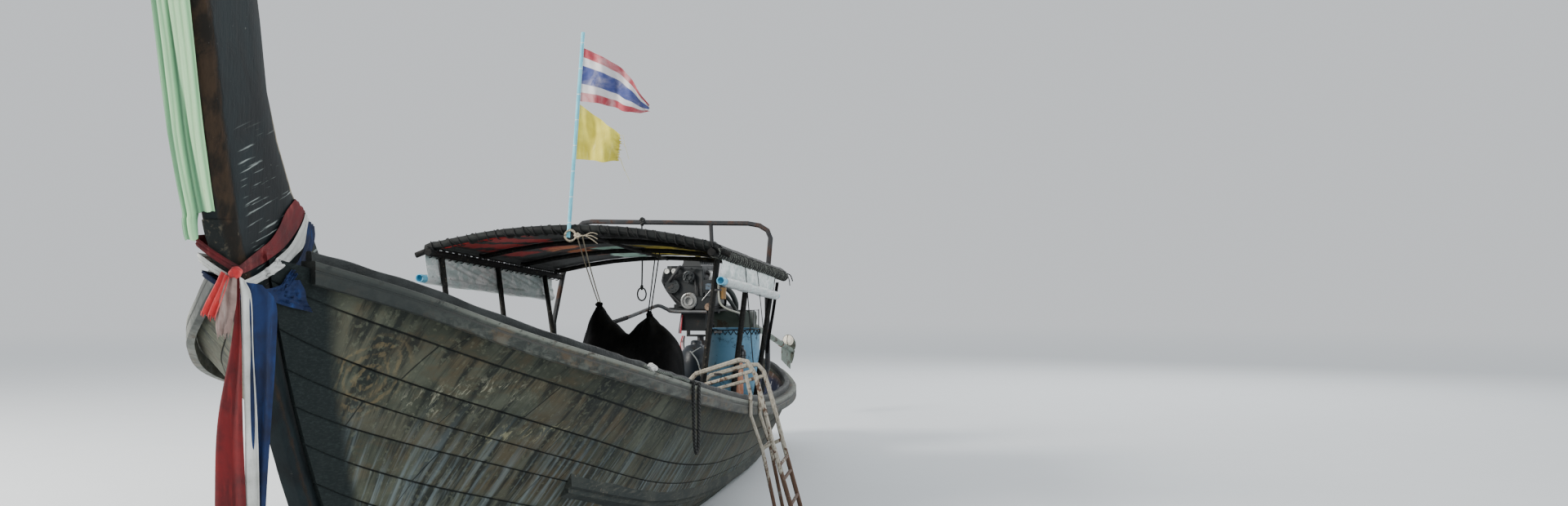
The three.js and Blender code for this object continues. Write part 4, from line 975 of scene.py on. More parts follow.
# %% Sashes
BANDS = {
    "red": (.0655, [(4.506, 1.956), (4.587, 1.904), (4.649, 1.843), (4.727, 1.791), (4.819, 1.755),
        (4.965, 1.697)], [(4.422, 1.911), (4.455, 1.868), (4.519, 1.817), (4.618, 1.760), (4.748, 1.716),
        (4.872, 1.682), (4.965, 1.664)]),
    "white": (.0690, [(4.426, 1.905), (4.456, 1.858), (4.55, 1.78), (4.666, 1.729), (4.709, 1.708),
        (4.827, 1.666), (4.950, 1.640)], [(4.394, 1.873), (4.436, 1.781), (4.511, 1.736), (4.626, 1.688),
        (4.756, 1.65), (4.940, 1.608)]),
    "blue": (.0725, [(4.402, 1.873), (4.435, 1.781), (4.49, 1.72), (4.59, 1.664), (4.68, 1.614),
        (4.925, 1.585)], [(4.354, 1.853), (4.354, 1.799), (4.411, 1.716), (4.523, 1.651), (4.657, 1.59),
        (4.915, 1.560)]),
}
RIBBONS = {
    "bright red": cloth_paint("red ribbon", (.35, .012, .014), (.60, .03, .03), (.80, .16, .13), 1400,
        dirty=.1),
    "red": cloth_paint("red band", (.045, .002, .004), (.12, .004, .007), (.30, .07, .06), 1400, dirty=.15,
        Sheen_Weight=0),
    "white": cloth_paint("white ribbon", (.40, .41, .38), (.62, .63, .60), (.8, .8, .78), 1400, dirty=.35),
    "blue": cloth_paint("blue ribbon", (.001, .006, .030), (.002, .018, .085), (.006, .050, .20), 1400,
        (.004, .010, .03), .15, Sheen_Weight=0),
    "old red": cloth_paint("old red ribbon", (.06, .003, .005), (.16, .005, .007), (.28, .015, .015), 1400,
        dirty=.2, Sheen_Weight=0),
    "tan": cloth_paint("faded ribbon", (.16, .10, .085), (.33, .23, .20), (.55, .46, .42), 1400),
}
bow_w, bow_t = np.meshgrid(np.linspace(0, 1, 60), np.linspace(.6, 1, 50))
BOW_SKIN = skin(bow_w, bow_t).reshape(-1, 3)
STEPS, STEP = 30, .0022


def over_planks(points, clear, slide=True):
    """Moves points of the port side clear of the planks: by small steps ahead, or straight out."""
    p = points.reshape(-1, 3)
    for _ in range(STEPS if slide else 3):
        gap = np.hypot(p[:, None, 0] - BOW_SKIN[None, :, 0], p[:, None, 2] - BOW_SKIN[None, :, 2])
        near = gap.argmin(1)
        low = (gap.min(1) < .02) & (p[:, 1] < BOW_SKIN[near, 1] + clear)
        if slide:
            p = p + (np.array(EYE) - p) * STEP * low[:, None]
        else:
            p = np.column_stack([p[:, 0], np.where(low, BOW_SKIN[near, 1] + clear, p[:, 1]), p[:, 2]])
    return p.reshape(points.shape)


for n, (tint, (y, upper, lower)) in enumerate(BANDS.items()):
    top, low = curve([(x, y, z) for x, z in upper], 40), curve([(x, y, z) for x, z in lower], 40)
    share = np.linspace(0, 1, 9)[:, None, None]
    port = top[None] * (1 - share) + low[None] * share
    star = on_side(port[:, ::-1], -1)
    rise = .105 * np.clip((star[..., 0] - 4.45) / .5, 0, 1)**1.5
    ahead = np.clip((star[..., 0] - 4.75) / .2, 0, 1)
    star[..., 0] += (stem_at(star[..., 2] + rise)[0] - stem_at(star[..., 2])[0]) * ahead
    star[..., 2] += rise
    turn = np.linspace(0, 1, 9)[1:-1][None, :, None]
    nose_arc = port[:, -1:] * (1 - turn) + star[:, :1] * turn + np.array([.018, 0, 0]) * np.sin(turn * np.pi)
    nose_arc[..., 0] = np.maximum(nose_arc[..., 0], stem_at(nose_arc[..., 2])[0] + .009 + .003 * n)
    tail_arc = star[:, -1:] * (1 - turn) + port[:, :1] * turn - np.array([.03, 0, 0]) * np.sin(turn * np.pi)
    clear = .006 + .003 * n + .05 * np.clip((4.56 - port[..., 0]) / .13, 0, 1).ravel()
    star = on_side(over_planks(on_side(star, -1), .006, False), -1)
    grid = np.concatenate([over_planks(port, clear), nose_arc, star, tail_arc], 1)
    s = np.linspace(0, 1, 9)[:, None]
    fold = np.sin(s * 15 + ripple(np.arange(grid.shape[1]) * .03, 3 + n)[None] * 3) * .0022
    grid = grid + normals(grid, True) * fold[..., None]
    cloth_piece(f"sash_{tint}", grid, RIBBONS[tint], "folded", ["stem_post_worn"], ring=True,
        slot="ribbon_cloth", stands_for="stem_sash" if n == 0 else ())

# The tails: (y, z) of the left and right edges, and the place along the boat.
TAILS = [
    ("red_short", "bright red", 5.006, [(.018, 1.679), (-.022, 1.602), (-.062, 1.524)],
        [(.050, 1.655), (.022, 1.573), (-.003, 1.508)], 14),
    ("tan_torn", "tan", 4.998, [(.035, 1.655), (.006, 1.567), (-.008, 1.499), (.002, 1.445)],
        [(.072, 1.655), (.069, 1.567), (.056, 1.499), (.043, 1.452)], 10),
    ("red_long", "old red", 4.990, [(.058, 1.665), (.060, 1.537), (.044, 1.39), (-.003, 1.124), (-.013, .829),
        (-.012, .642)], [(.078, 1.660), (.082, 1.537), (.090, 1.39), (.094, 1.125), (.107, .831),
        (.105, .640)], 8),
    ("white_long", "white", 4.984, [(.070, 1.665), (.081, 1.579), (.086, 1.39), (.097, 1.125), (.097, .831),
        (.100, .603)], [(.100, 1.640), (.122, 1.579), (.130, 1.391), (.147, 1.126), (.153, .832),
        (.150, .600)], 7),
    ("blue_long", "blue", 4.976, [(.085, 1.640), (.105, 1.56), (.117, 1.389), (.105, 1.122), (.095, .826),
        (.098, .622)], [(.160, 1.628), (.213, 1.56), (.211, 1.389), (.193, 1.123), (.174, .828),
        (.172, .620)], 9),
]
for n, (name, tint, x, left, right, folds) in enumerate(TAILS):
    rows, cols = 64, 29
    a = curve([(x, y, z) for y, z in left], rows)
    b = curve([(x, y, z) for y, z in right], rows)
    s = np.linspace(0, 1, cols)
    grid = a[:, None] * (1 - s)[None, :, None] + b[:, None] * s[None, :, None]
    drop = np.linspace(0, 1, rows)[:, None]
    sway = ripple(drop[:, 0] * 2.2, 30 + n, 5, 1, 4)[:, None]
    deep = np.minimum(.0035 + .006 * drop, .009)
    grid[..., 0] += np.sin(s[None] * folds + sway * 1.5) * deep + sway * .003
    torn = ripple(s * 9, 50 + n, 6, 3, 14)
    grid[-3:, :, 2] += torn * np.array([.006, .014, .03])[:, None]
    cloth_piece(f"sash_tail_{name}", grid, RIBBONS[tint], "hung", ["sash_knot"], slot="ribbon_cloth")

flap_top = curve([(4.905, .094, 1.612), (4.79, .092, 1.612), (4.70, .09, 1.622), (4.60, .088, 1.640),
    (4.51, .087, 1.640)], 24)
flap_low = curve([(4.900, .094, 1.590), (4.80, .096, 1.572), (4.69, .096, 1.550), (4.56, .094, 1.530),
    (4.42, .092, 1.512)], 24)
share = np.linspace(0, 1, 14)[:, None, None]
flap = flap_top[None] * (1 - share) + flap_low[None] * share
flap = over_planks(flap, .016)
flap[..., 1] += np.sin(share[..., 0] * 9 + np.linspace(0, 5, 24)[None]) * .004
cloth_piece("sash_flap_blue", flap, RIBBONS["blue"], "hung", ["sash_blue"], slot="ribbon_cloth")

KNOT = np.array([4.99, .062, 1.672])
a, b, ball = globe(20, 28)
lump = 1 + .16 * np.sin(3 * b + 2 * a) * np.sin(a) + .07 * np.sin(7 * b - 4 * a)
knot = KNOT + ball * (.021, .023, .022) * lump[..., None]
piece("sash_knot", lofted(knot, u=a * .02, v=b * .02), RIBBONS["bright red"], slot="ribbon_cloth", sharp=80)

# %% [markdown]
# ## Cloth on the prow
# A pale green cloth is folded into upright strips and hangs down the prow's front face.

# %% Prow cloth
PROW_CLOTH = np.array([(3000, -98, 52), (2850, -100, 50), (2610, -102, 46), (2350, -106, 40),
    (2165, -106, 36), (1977, -100, 35), (1885, -98, 33), (1850, -104, 4), (1790, -106, -34)]) / 1000


def mint_paint():
    """Thin cloth with painted light: a painted highlight, pale, where a fold stands out, and painted shade,
    deeper green, where it lies back.
    """
    p = Paint("mint cloth", Sheen_Weight=.15)
    fold = p.value("fold")
    fade = p.noise((3, 12, 2.4), 4, .6, .5)
    # Painted shade in the folds that lie back, painted highlight on those that stand out.
    colour = p.blend(p.step(fold + fade * .3, .1, .95), (.085, .23, .12), (.25, .54, .27))
    colour = p.blend(p.step(fold + fade * .3, .72, 1.15), colour, (.52, .84, .46))
    colour = p.blend(p.step(p.noise((16, 30, 12), 5, .7), .6, .74) * .35, colour, (.40, .48, .20))
    return p.done(colour, .85, p.weave(1100) * .25 + fade * .5, .0014)


s = np.linspace(0, 1, 100)[None, :]
drop = np.linspace(0, 1, 130)[:, None]
lowest = 1.79 + .1 / (1 + np.exp(-(s - .44) / .012)) + .006 * ripple(s * 9, 12)
z = 3.0 - (3.0 - lowest) * drop
left = np.interp(z, PROW_CLOTH[::-1, 0], PROW_CLOTH[::-1, 1])
right = np.interp(np.maximum(z, 1.885), PROW_CLOTH[::-1, 0], PROW_CLOTH[::-1, 2])
y = left + (right - left) * s
EDGES = ((.16, .03, .012), (.40, -.05, -.012), (.30, .42, .014), (.92, -.02, -.006))
fold = .004 + 0 * z
for at, lean, height in EDGES:
    where = at + lean * drop + .02 * ripple(z * 1.3, 8 + int(at * 50), 5, 1, 4)
    fold = fold + height / (1 + np.exp(-(s - where) / .02))
fold = fold + .0035 * np.exp(-((s - .10) / .05)**2) + .0022 * np.sin(s * 40 + ripple(z * 1.6, 9) * 2)
fold = np.clip(fold, 0, .021)
front = stem_at(z)[0] + .0035 + np.where(z < 1.87, .005, 0)
prow_grid = np.stack([front + fold, y, z], -1)
# The fold's depth goes to the finish for its painted light.
prow = piece("prow_cloth_folded", cloth_part(prow_grid, .0014, fold=np.clip(fold / .019, 0, 1)), mint_paint(),
    stands_for="prow_cloth", slot="mint_cloth", sharp=70)
declare(prow_grid)
print("bow pieces:", len(made))

# %% [markdown]
# ## Canopy
# One tarpaulin lies over four bows. Its front edge is rolled round the first bow and bound
# there; between the bows it sags, and its sides turn down over the eave poles.

# %% Canopy cover
FRONT, REAR, FRONT_Z, REAR_Z, RISE = .430, -2.430, 1.764, 1.582, .108
BOW_HALF, BOW_FOOT = .905, .04059
BOWS = (.416, -.55, -1.5, -2.4)


def eave_z(x):
    return FRONT_Z + (x - FRONT) * (FRONT_Z - REAR_Z) / (FRONT - REAR)


def arch(y):
    """Height of a bow over the eaves, a parabola."""
    return BOW_FOOT + RISE * np.maximum(1 - (y / BOW_HALF)**2, 0)


y = np.concatenate([[-.968, -.962], np.linspace(-.95, .95, 96), [.962, .968]])
hem = np.interp(np.abs(y), [.93, .968], [0, .030])
ROLL_ROWS, INNER_TURN = 26, 11
turn = np.radians(np.linspace(-150, 88, ROLL_ROWS))[:, None]
roll = .0272 + .0035 * ripple(y * 9, 71, 8, 2, 9)[None] + .003 * ripple(turn * 2 + y[None] * 6, 72, 6, 1, 5)
rolled = np.stack([BOWS[0] + roll * np.cos(turn), np.broadcast_to(y, roll.shape),
    eave_z(BOWS[0]) + arch(y)[None] + roll * np.sin(turn) - hem[None] * .6], -1)
x = np.linspace(.385, -2.455, 96)[:, None]
part_way = np.interp(x[:, 0], BOWS[::-1], [3, 2, 1, 0]) % 1
sag = -.011 * np.sin(part_way * np.pi)[:, None]**2 * np.clip(1 - (y / .97)**6, 0, 1)[None]
top = .0245 + .008 * np.exp(-((x - .385) / .06)**2)
crease = .0028 * ripple(x * 5 + y[None] * 3, 73, 8, 1, 7) + .0016 * ripple(x * 9 - y[None] * 14, 74, 8, 1, 6)
lying = np.stack([np.broadcast_to(x, crease.shape), np.broadcast_to(y, crease.shape),
    eave_z(x) + arch(y)[None] + top + sag + crease - hem[None]], -1)
cover_grid = np.concatenate([rolled, lying])


def tarpaulin_paint():
    """Black outside; inside, the lining is pieced from old coloured sheets."""
    p = Paint("tarpaulin", Specular_IOR_Level=.3)
    x, y = p.axis(0), p.axis(1)
    weave = p.weave(700)
    fade = p.noise((6, 6, 6), 5, .65, .5)
    warp = p.noise((3, 3, 3), 4, .6)
    black = p.blend(p.step(fade, .4, .66), (.0025, .0035, .0035), (.010, .013, .012))
    stripes = p.step((y * 26 + x * 9 + warp * 9).sine(), -.85, -.3)
    red = p.blend(stripes * .9, (.014, .014, .012), (.46, .022, .022))
    orange = p.blend(p.step((y * 17 - x * 12 + warp * 9).sine(), -.6, .2), (.04, .018, .012), (.62, .17, .05))
    yellow = p.blend(p.step(warp + fade * .3, .52, .66), (.09, .08, .02), (.80, .62, .07))
    green = p.blend(fade, (.35, .6, .48), (.62, .88, .74))
    jag = warp * .5 - .25
    lining = p.blend(p.step(y + jag, -.38, -.42) * p.step(x + jag, -1.12, -1.0) * p.step(y, -.9, -.84), black,
        red)
    lining = p.blend(p.step(y + jag, -.58, -.53) * p.step(y + jag, -.36, -.40) * p.step(x, -.85,
        -1.0) * p.step(x, -1.9, -1.8), lining, orange)
    lining = p.blend(p.step(y + jag * .5, -.36, -.33) * p.step(y + jag * .5, -.12, -.16) * p.step(x, -1.25,
        -1.4), lining, green)
    lining = p.blend(p.step(y + jag * .6, -.04, .02) * p.step(y + jag * .4, .62, .54) * p.step(x, -1.1, -1.3),
        lining, yellow)
    colour = p.blend(p.value("under"), black, lining)
    colour = p.blend(p.step(p.noise((14, 14, 14), 5, .7), .55, .72) * (.3 + .4 * p.value("under")), colour,
        (.02, .021, .019))
    return p.done(colour, fade * .2 + .6, weave * .2 + fade * .6, .003)


# The lining shows on the lower face behind the roll, and on both faces of the roll's inner turn.
cover = cloth_part(cover_grid, .003)
upper_face = np.zeros(cover_grid.shape[:2])
upper_face[:INNER_TURN] = 1
lower_face = upper_face.copy()
lower_face[ROLL_ROWS:] = 1
cover["values"]["under"] = np.concatenate([lower_face.ravel(), upper_face.ravel()])
canopy = piece("canopy_tarpaulin", cover, tarpaulin_paint(), stands_for="canopy_cover", slot="tarpaulin",
    sharp=80)
declare(cover_grid)


def spiral(path, radius, pitch, wire, sides=7, phase=0, steps=14):
    """Wire wound round a path: a screw of one turn per pitch, at a radius from it."""
    path = np.asarray(path, float)
    run = distances(path)
    s = np.linspace(0, run[-1], max(int(run[-1] / pitch * steps), 4))
    centre = np.column_stack([np.interp(s, run, path[:, k]) for k in range(3)])
    side, over = frames_along(centre, (.03, .02, 1))
    a = s / pitch * 2 * np.pi + phase
    r = np.broadcast_to(radius, len(path))
    r = np.interp(s, run, r)[:, None]
    return rope_tube(centre + r * (side * np.cos(a)[:, None] + over * np.sin(a)[:, None]), wire, sides,
        (.1, .9, .3))


bow_y = np.linspace(-.93, .93, 60)
front_bow = np.column_stack([np.full(60, BOWS[0]), bow_y, eave_z(BOWS[0]) + arch(bow_y)])
cords("canopy_edge_lashing", [spiral(front_bow, .0325, .062, .0036),
    spiral(front_bow, .0325, .17, .0030, phase=2)], dark_rope)
eave = np.array([(x, .941, eave_z(x) + .004) for x in np.linspace(.47, -2.47, 40)])
cords("canopy_eave_lashing_port", [spiral(eave, .034, .034, .0048, steps=12),
    cable([(-2.47, .95, 1.61), (-2.475, .985, 1.60), (-2.48, 1.0, 1.58), (-2.48, 1.012, 1.545)], 14, .0045),
    cable([(-2.46, .955, 1.60), (-2.47, .975, 1.585), (-2.475, .985, 1.55), (-2.47, .99, 1.51)], 14, .0035)],
    dark_rope)
old_rope = rope_paint("old grey rope", (.05, .055, .05), (.22, .23, .20))
cords("canopy_eave_binding_port", [spiral(eave, .0355, .085, .0042, phase=1),
    spiral(eave, .036, .21, .0036, phase=3)], old_rope)
tip_y = np.linspace(.90, 1.035, 16)
tips = [rope_tube(np.column_stack([np.full(16, .412), side * tip_y,
    eave_z(.412) + .036 - .38 * (tip_y - .90)]), .019, 12, (1, 0, 0)) for _, side in SIDES]
piece("canopy_bow_tips", tips, pole_look, slot="canopy_poles", sharp=60)
cords("canopy_eave_lashing_starboard", spiral(on_side(eave, STARBOARD), .034, .12, .0042), dark_rope)

# %% [markdown]
# ## Rolled side curtains
# Clear sheets, clouded with age, are rolled up under each eave and rest on a length of blue
# water pipe that weighs them down when they are let out.


# %% Curtains
PIPE_Y, PIPE_DROP = .9555, .1711         # the pipe's place: from the centre line, and below the eave


def clear_paint():
    p = Paint("clouded sheet", Specular_IOR_Level=.5)
    fade = p.noise((6, 6, 14), 5, .6, .8)
    crease = p.noise((16, 16, 44), 5, .7, 1)
    colour = p.blend(p.step(fade, .35, .66), (.46, .56, .54), (.90, .92, .90))
    # The creases are darkened: painted shade in the creases.
    colour = p.blend(p.step(crease, .54, .72) * .7, colour, (.17, .20, .20))
    # Round the roll the sheet is darker: painted shade in the roll.
    colour = p.blend(p.value("low") * p.step(fade + crease * .4, .5, .9) * .85, colour, (.09, .11, .12))
    return p.done(colour, crease * .3 + .25, crease + fade * .6, .005,
        Alpha=p.step(crease + p.value("low"), .2, .5) * .22 + .76)


clear_look = clear_paint()
for label, side, fore, aft, seed in (("port", 1, .22, -1.95, 81), ("starboard", -1, .48, -2.33, 84)):
    x = np.linspace(fore, aft, 160)[:, None]
    lump = ripple(x * 3.1, seed, 6, 1, 4)
    ring = np.radians(np.linspace(150, 470, 30))[None]
    down = np.linspace(-.003, .152, 20)[None] + 0 * x
    scallop = np.abs(np.sin((x - fore) * np.pi / 1.15))
    puff = .0285 + .006 * lump * scallop + .005 * scallop + .0035 * ripple(x * 9 + ring * 3, seed + 2, 7, 1,
        4)
    low = np.concatenate([down, PIPE_DROP - puff * np.sin(ring)], 1)
    body = .947 + .011 * ripple(x * 5 + down * 34, seed + 1, 8, 1,
        5) * np.sin(np.clip(down / .15, 0, 1) * np.pi)
    yy = np.concatenate([body - .018 * np.clip(down / .15, 0, 1)**2, PIPE_Y + puff * np.cos(ring)], 1)
    zz = eave_z(x) - low
    grid = np.stack([np.broadcast_to(x, yy.shape), yy, zz], -1)
    part = cloth_part(on_side(grid, side), .0016)
    share = np.broadcast_to(np.concatenate([np.zeros(20), np.linspace(.4, 1, 30)])[None], yy.shape).ravel()
    part["values"]["low"] = np.tile(share, 2)
    roll_up = piece(f"side_curtain_{label}_rolled", part, clear_look, stands_for=f"side_curtain_{label}",
        slot="clear_sheet", sharp=80)
    declare(grid)
pipe_look = metal_paint("blue pipe", (.06, .34, .52), (.05, .15, .2), .15, 0, .45, (.22, .52, .66))
for label, side, fore, aft in (("port", 1, .33, -2.0), ("starboard", -1, .56, -2.36)):
    start = np.array([fore, side * PIPE_Y, eave_z(fore) - PIPE_DROP])
    stop = np.array([aft, side * PIPE_Y, eave_z(aft) - PIPE_DROP])
    span = np.linalg.norm(stop - start)
    profile = [(.04, .0205), (0, .021), (0, .0262), (.003, .027), (span * .5, .027), (span - .003, .027),
        (span, .0262), (span, .021), (span - .04, .0205)]
    piece(f"curtain_pipe_{label}_long", turned(profile, start, stop - start, 28), pipe_look,
        stands_for=f"curtain_pipe_{label}", slot="blue_pipe", sharp=50)

# %% [markdown]
# ## Flags
# Both flags are torn at the fly. Each is a sheet between a top and a bottom edge that droop
# by measured amounts, with waves that grow away from the pole.


# %% Flags
def pole_y(z):
    """How far to port the leaning flag pole stands at a height."""
    return -.007 + .098 * (z - 1.860) / 1.305


def flag(name, hoist, across, dx, droop_top, droop_low, length, seed, paint, stands_for):
    """A flag's grid: its edges are interpolated from short tables in mm, then waved and torn."""
    cols, rows = 70, 44
    s = np.linspace(0, length, cols)
    t = np.linspace(0, 1, rows)[:, None]
    torn = ripple(t[:, 0] * 16, seed, 9, 2, 13)[:, None] * .028 * (s / length)**8
    top = hoist[0] - curve_1d(s, across, droop_top)
    low = hoist[1] - curve_1d(s, across, droop_low)
    z = top[None] * (1 - t) + low[None] * t
    y = pole_y(z) + .0135 + s[None] + torn
    wave = .016 * np.sin(s[None] * 30 + t * 2.4 + seed) * np.minimum(s / .09,
        1) + .006 * np.sin(s[None] * 71 - t * 7)
    x = .4474 + curve_1d(s, across, dx)[None] * .6 + wave * np.minimum(s / .05, 1)
    grid = np.stack([x, y, z + .004 * np.sin(s[None] * 60) * (s / length)], -1)
    part = cloth_part(grid, .0012)
    part["values"]["down"] = np.tile(np.broadcast_to(t, (rows, cols)).ravel(), 2)
    thing = piece(name, part, paint, stands_for=stands_for, slot="flag_cloth", sharp=80)
    declare(grid)
    return grid


def curve_1d(s, at, value):
    """Smooth table in millimetres, read in metres."""
    knots = curve(np.column_stack([np.asarray(at), np.asarray(value), np.zeros(len(at))]) / 1000., 60)
    return np.interp(s, knots[:, 0], knots[:, 1])


def striped_paint():
    p = Paint("striped flag", Sheen_Weight=.1)
    down = p.value("down")
    far_off = p.node("ShaderNodeMath", {"operation": "ABSOLUTE"}, [down - .5])
    red, white, blue = (.42, .05, .07), (.66, .65, .66), (.05, .07, .24)
    colour = p.blend(p.step(far_off, .325, .335), p.blend(p.step(far_off, .165, .175), blue, white), red)
    fade = p.noise((7, 7, 7), 5, .6, .5)
    colour = p.blend(p.step(fade, .42, .7) * .45, colour, (.62, .58, .58))
    weave = p.weave(1500)
    return p.done(colour, .85, weave * .3 + fade * .5, .0016)


flag("flag_striped_torn", (3.063, 2.726), (0, 110, 220, 320, 445), (0, 24, -18, 20, 0),
    (0, 50, 110, 195, 370), (0, 15, 40, 75, 75), .445, 91, striped_paint(), "flag_striped")
yellow_look = cloth_paint("yellow flag", (.58, .50, .05), (.78, .70, .09), (.86, .80, .30), 1500,
    (.45, .36, .10), .2)
plain = flag("flag_plain_torn", (2.706, 2.358), (0, 90, 180, 275), (0, -20, 16, 0), (0, 65, 125, 195),
    (0, 5, 20, 10), .275, 95, yellow_look, "flag_plain")
threads = [cable([plain[r, -1], plain[r, -1] + np.array([.004, .02, -.02 * k]),
    plain[r, -1] + np.array([.0, .03 + .012 * k, -.07 - .03 * k])], 12, .0008, 5)
    for k, r in enumerate((2, 14, 26, 38))]
piece("flag_plain_threads", threads, yellow_look, slot="flag_cloth", sharp=80)


def pole_paint():
    p = Paint("flag pole paint", Specular_IOR_Level=.4)
    z = p.axis(2)
    fine = p.noise((40, 40, 8), 4, .6)
    colour = p.blend(p.step(fine, .35, .7), (.12, .48, .62), (.26, .68, .80))
    ring = p.step((z / .163).fold(), .018, .012)
    colour = p.blend(ring * .8, colour, (.75, .8, .8))
    return p.done(colour, .4, fine, .001)


finish("flag_pole", pole_paint())
print("canopy and flags:", len(made))

# %% [markdown]
# ## Slung cloth and its ropes
# A black cloth is hung up by two points to dry, in two peaks. Its height is one line across
# the boat, scaled along the boat, and its folds fan out from the peaks.

# %% Slung cloth
THWART_TOP = .4303
SLING = np.array([(-.955, 0), (-1.29, .62), (-1.60, 1), (-1.80, .7), (-2.005, 0)])
SLING_LINE = np.array([(-540, 820), (-440, 1121), (-353, 1346), (-250, 1225), (-133, 1142), (-50, 1190),
    (39, 1280), (110, 1225), (197, 1152), (252, 1046), (290, 760)]) / 1000
line = curve(np.column_stack([SLING_LINE, np.zeros(len(SLING_LINE))]), 120)[:, :2]
along = curve(np.column_stack([SLING, np.zeros(len(SLING))]), 64)[:, :2]
share = np.clip(along[:, 1], 0, 1)[:, None]
grid = np.stack([np.broadcast_to(along[:, :1], (64, 120)), np.broadcast_to(line[:, 0], (64, 120)),
    THWART_TOP + (line[None, :, 1] - THWART_TOP) * share + .007], -1)
fan = np.arctan2(grid[..., 1] + .353, 1.36 - grid[..., 2] + .02) * 7 + np.arctan2(grid[..., 1] - .039,
    1.29 - grid[..., 2] + .02) * 6
swell = np.sin(fan + grid[..., 0] * 9) * .008 + .004 * ripple(grid[..., 1] * 14 + grid[..., 0] * 6, 101)
n = normals(grid)
n *= np.sign(n[..., 2:3] + 1e-6)
grid = grid + n * (.011 + swell * np.minimum(share * 3, 1))[..., None]
black_cloth = cloth_paint("black cloth", (.0018, .0018, .0022), (.004, .004, .0045), (.008, .008, .009), 800,
    (.008, .008, .008), .3, Sheen_Weight=0, Specular_IOR_Level=.15)
cloth_piece("slung_cloth_peaks", grid, black_cloth, "hung", ["thwarts"], thick=.002, stands_for="slung_cloth",
    slot="black_cloth")
EYE_POINTS = {"fore": (-1.60, -.353, 1.372), "aft": (-1.60, .039, 1.306)}


def knot_part(centre, size, seed, rows=16, cols=22):
    """A lumpy knot: a ball with a few turns of rope pressed into it."""
    a, b, ball = globe(rows, cols)
    lump = 1 + .2 * np.sin(2 * b + 3 * a + seed) * np.sin(a) + .1 * np.sin(5 * b - 3 * a + seed)
    return lofted(np.asarray(centre) + ball * np.asarray(size) * lump[..., None], u=b / 6.28, v=a * .03)


def slack(a, b, drop, count=24):
    """A line between two points with a small parabola of sag."""
    s = np.linspace(0, 1, count)[:, None]
    return np.asarray(a) * (1 - s) + np.asarray(b) * s - np.array([0, 0, drop]) * 4 * s * (1 - s)


fore, aft = np.array(EYE_POINTS["fore"]), np.array(EYE_POINTS["aft"])
cords("sling_ropes_pale", [rope_tube(slack((.452, .052, 1.868), fore + (0, -.008, .02), .012), .0042, 8),
    rope_tube(slack((.452, .088, 1.862), fore + (0, .010, .02), .018), .0042, 8)], pale_rope)
cords("sling_ropes_dark", [rope_tube(slack((-1.6, .088, 1.772), aft + (0, -.008, .01), 0), .0045, 8),
    rope_tube(slack((-1.6, .118, 1.770), aft + (0, .010, .01), 0), .0045, 8)], dark_rope)
piece("sling_knots", [knot_part(fore, (.022, .026, .024), 1), knot_part(aft, (.02, .024, .022), 4),
    knot_part(fore - (0, -.003, .028), (.026, .03, .016), 2), knot_part(aft - (0, -.003, .026),
    (.024, .03, .016), 3)], black_cloth, slot="black_cloth", sharp=80)
turns = np.linspace(0, 2 * np.pi * 2.6, 90)
coil = np.column_stack([.466 + .004 * np.sin(turns * .5), .012 + (.034 + .003 * np.sin(turns * 1.3))
    * np.cos(turns), 1.872 + (.036 + .004 * np.cos(turns * .7)) * np.sin(turns)])
ends = [cable([(.462, .04, 1.865), (.466, .10, 1.872), (.470, .15, 1.850 + .02 * k),
    (.468, .19, 1.82 + .03 * k)], 18, .0032, 7) for k in range(3)]
cords("edge_coil", [rope_tube(coil, .0042, 8), *ends, knot_part((.464, .058, 1.872), (.014, .02, .018), 6)],
    pale_rope)

HANG_TOP, HANG_LOW = np.array([-2.497, -.235, 2.004]), np.array([-2.497, -.235, 1.500])
hang_path = slack(HANG_TOP, HANG_LOW, 0, 30) + np.column_stack([np.zeros(30),
    .004 * np.sin(np.linspace(0, 3.1, 30)), np.zeros(30)])
cords("hanging_rope_hitch", [knot_part((-2.512, -.235, 2.03), (.03, .022, .034), 7)], dark_rope)
eye = np.radians(np.linspace(95, 445, 44))
hang_eye = cords("hanging_rope_eye", [rope_tube(np.column_stack([np.full(44, -2.497),
    -.235 + .036 * np.cos(eye), 1.437 + .052 * np.sin(eye)]), .006, 9, (1, 0, 0)),
    knot_part((-2.497, -.235, 1.492), (.012, .012, .020), 8)], dark_rope)
hang_rope = cords("hanging_rope", rope_tube(hang_path, .006, 9, (1, 0, 0)), dark_rope)
print("slung cloth and ropes:", len(made))

# %% [markdown]
# ## Engine
# The engine sits on its swivel, turned a little off the boat's line. Its front, which faces
# the bow, carries the pulleys, the belt and the caps. Everything here is laid out in the
# engine's own directions and then turned with it.

# %% Engine front
PIVOT_X, SWING, TAIL_DROP = -3.75, math.radians(4.63), math.radians(11.53)
FACE = -3.435


def turned_with_engine(part):
    """Turns a part of the engine by its rest angle about the upright through the pivot."""
    p = part["points"].copy()
    dx, y = p[:, 0] - PIVOT_X, p[:, 1].copy()
    p[:, 0] = PIVOT_X + dx * math.cos(SWING) + y * math.sin(SWING)
    p[:, 1] = -dx * math.sin(SWING) + y * math.cos(SWING)
    return {**part, "points": p}


def on_engine(name, parts, paint, slot="engine_metal", **more):
    """A piece of the engine unit, from parts in the engine's own directions."""
    piece(name, [turned_with_engine(p) for p in (parts if isinstance(parts, list) else [parts])], paint,
        "engine_unit", slot=slot, **more)


def wheel(profile, y, z, sides):
    """Lathe work on the engine's front: its profile is of (distance ahead of the face, radius)."""
    return turned(profile, (FACE, y, z), (1, 0, 0), sides)


# y, z, radius, how far it stands out of the block
GEAR = {
    "crank": (0, 1.360, .072, .062),
    "fan": (-.005, 1.569, .052, .052),
    "alternator": (-.155, 1.486, .065, .044),
    "filler_outer": (-.207, 1.616, .022, .030),
    "filler_inner": (-.144, 1.618, .022, .030),
    "oil_cap": (.175, 1.309, .033, .060),
}
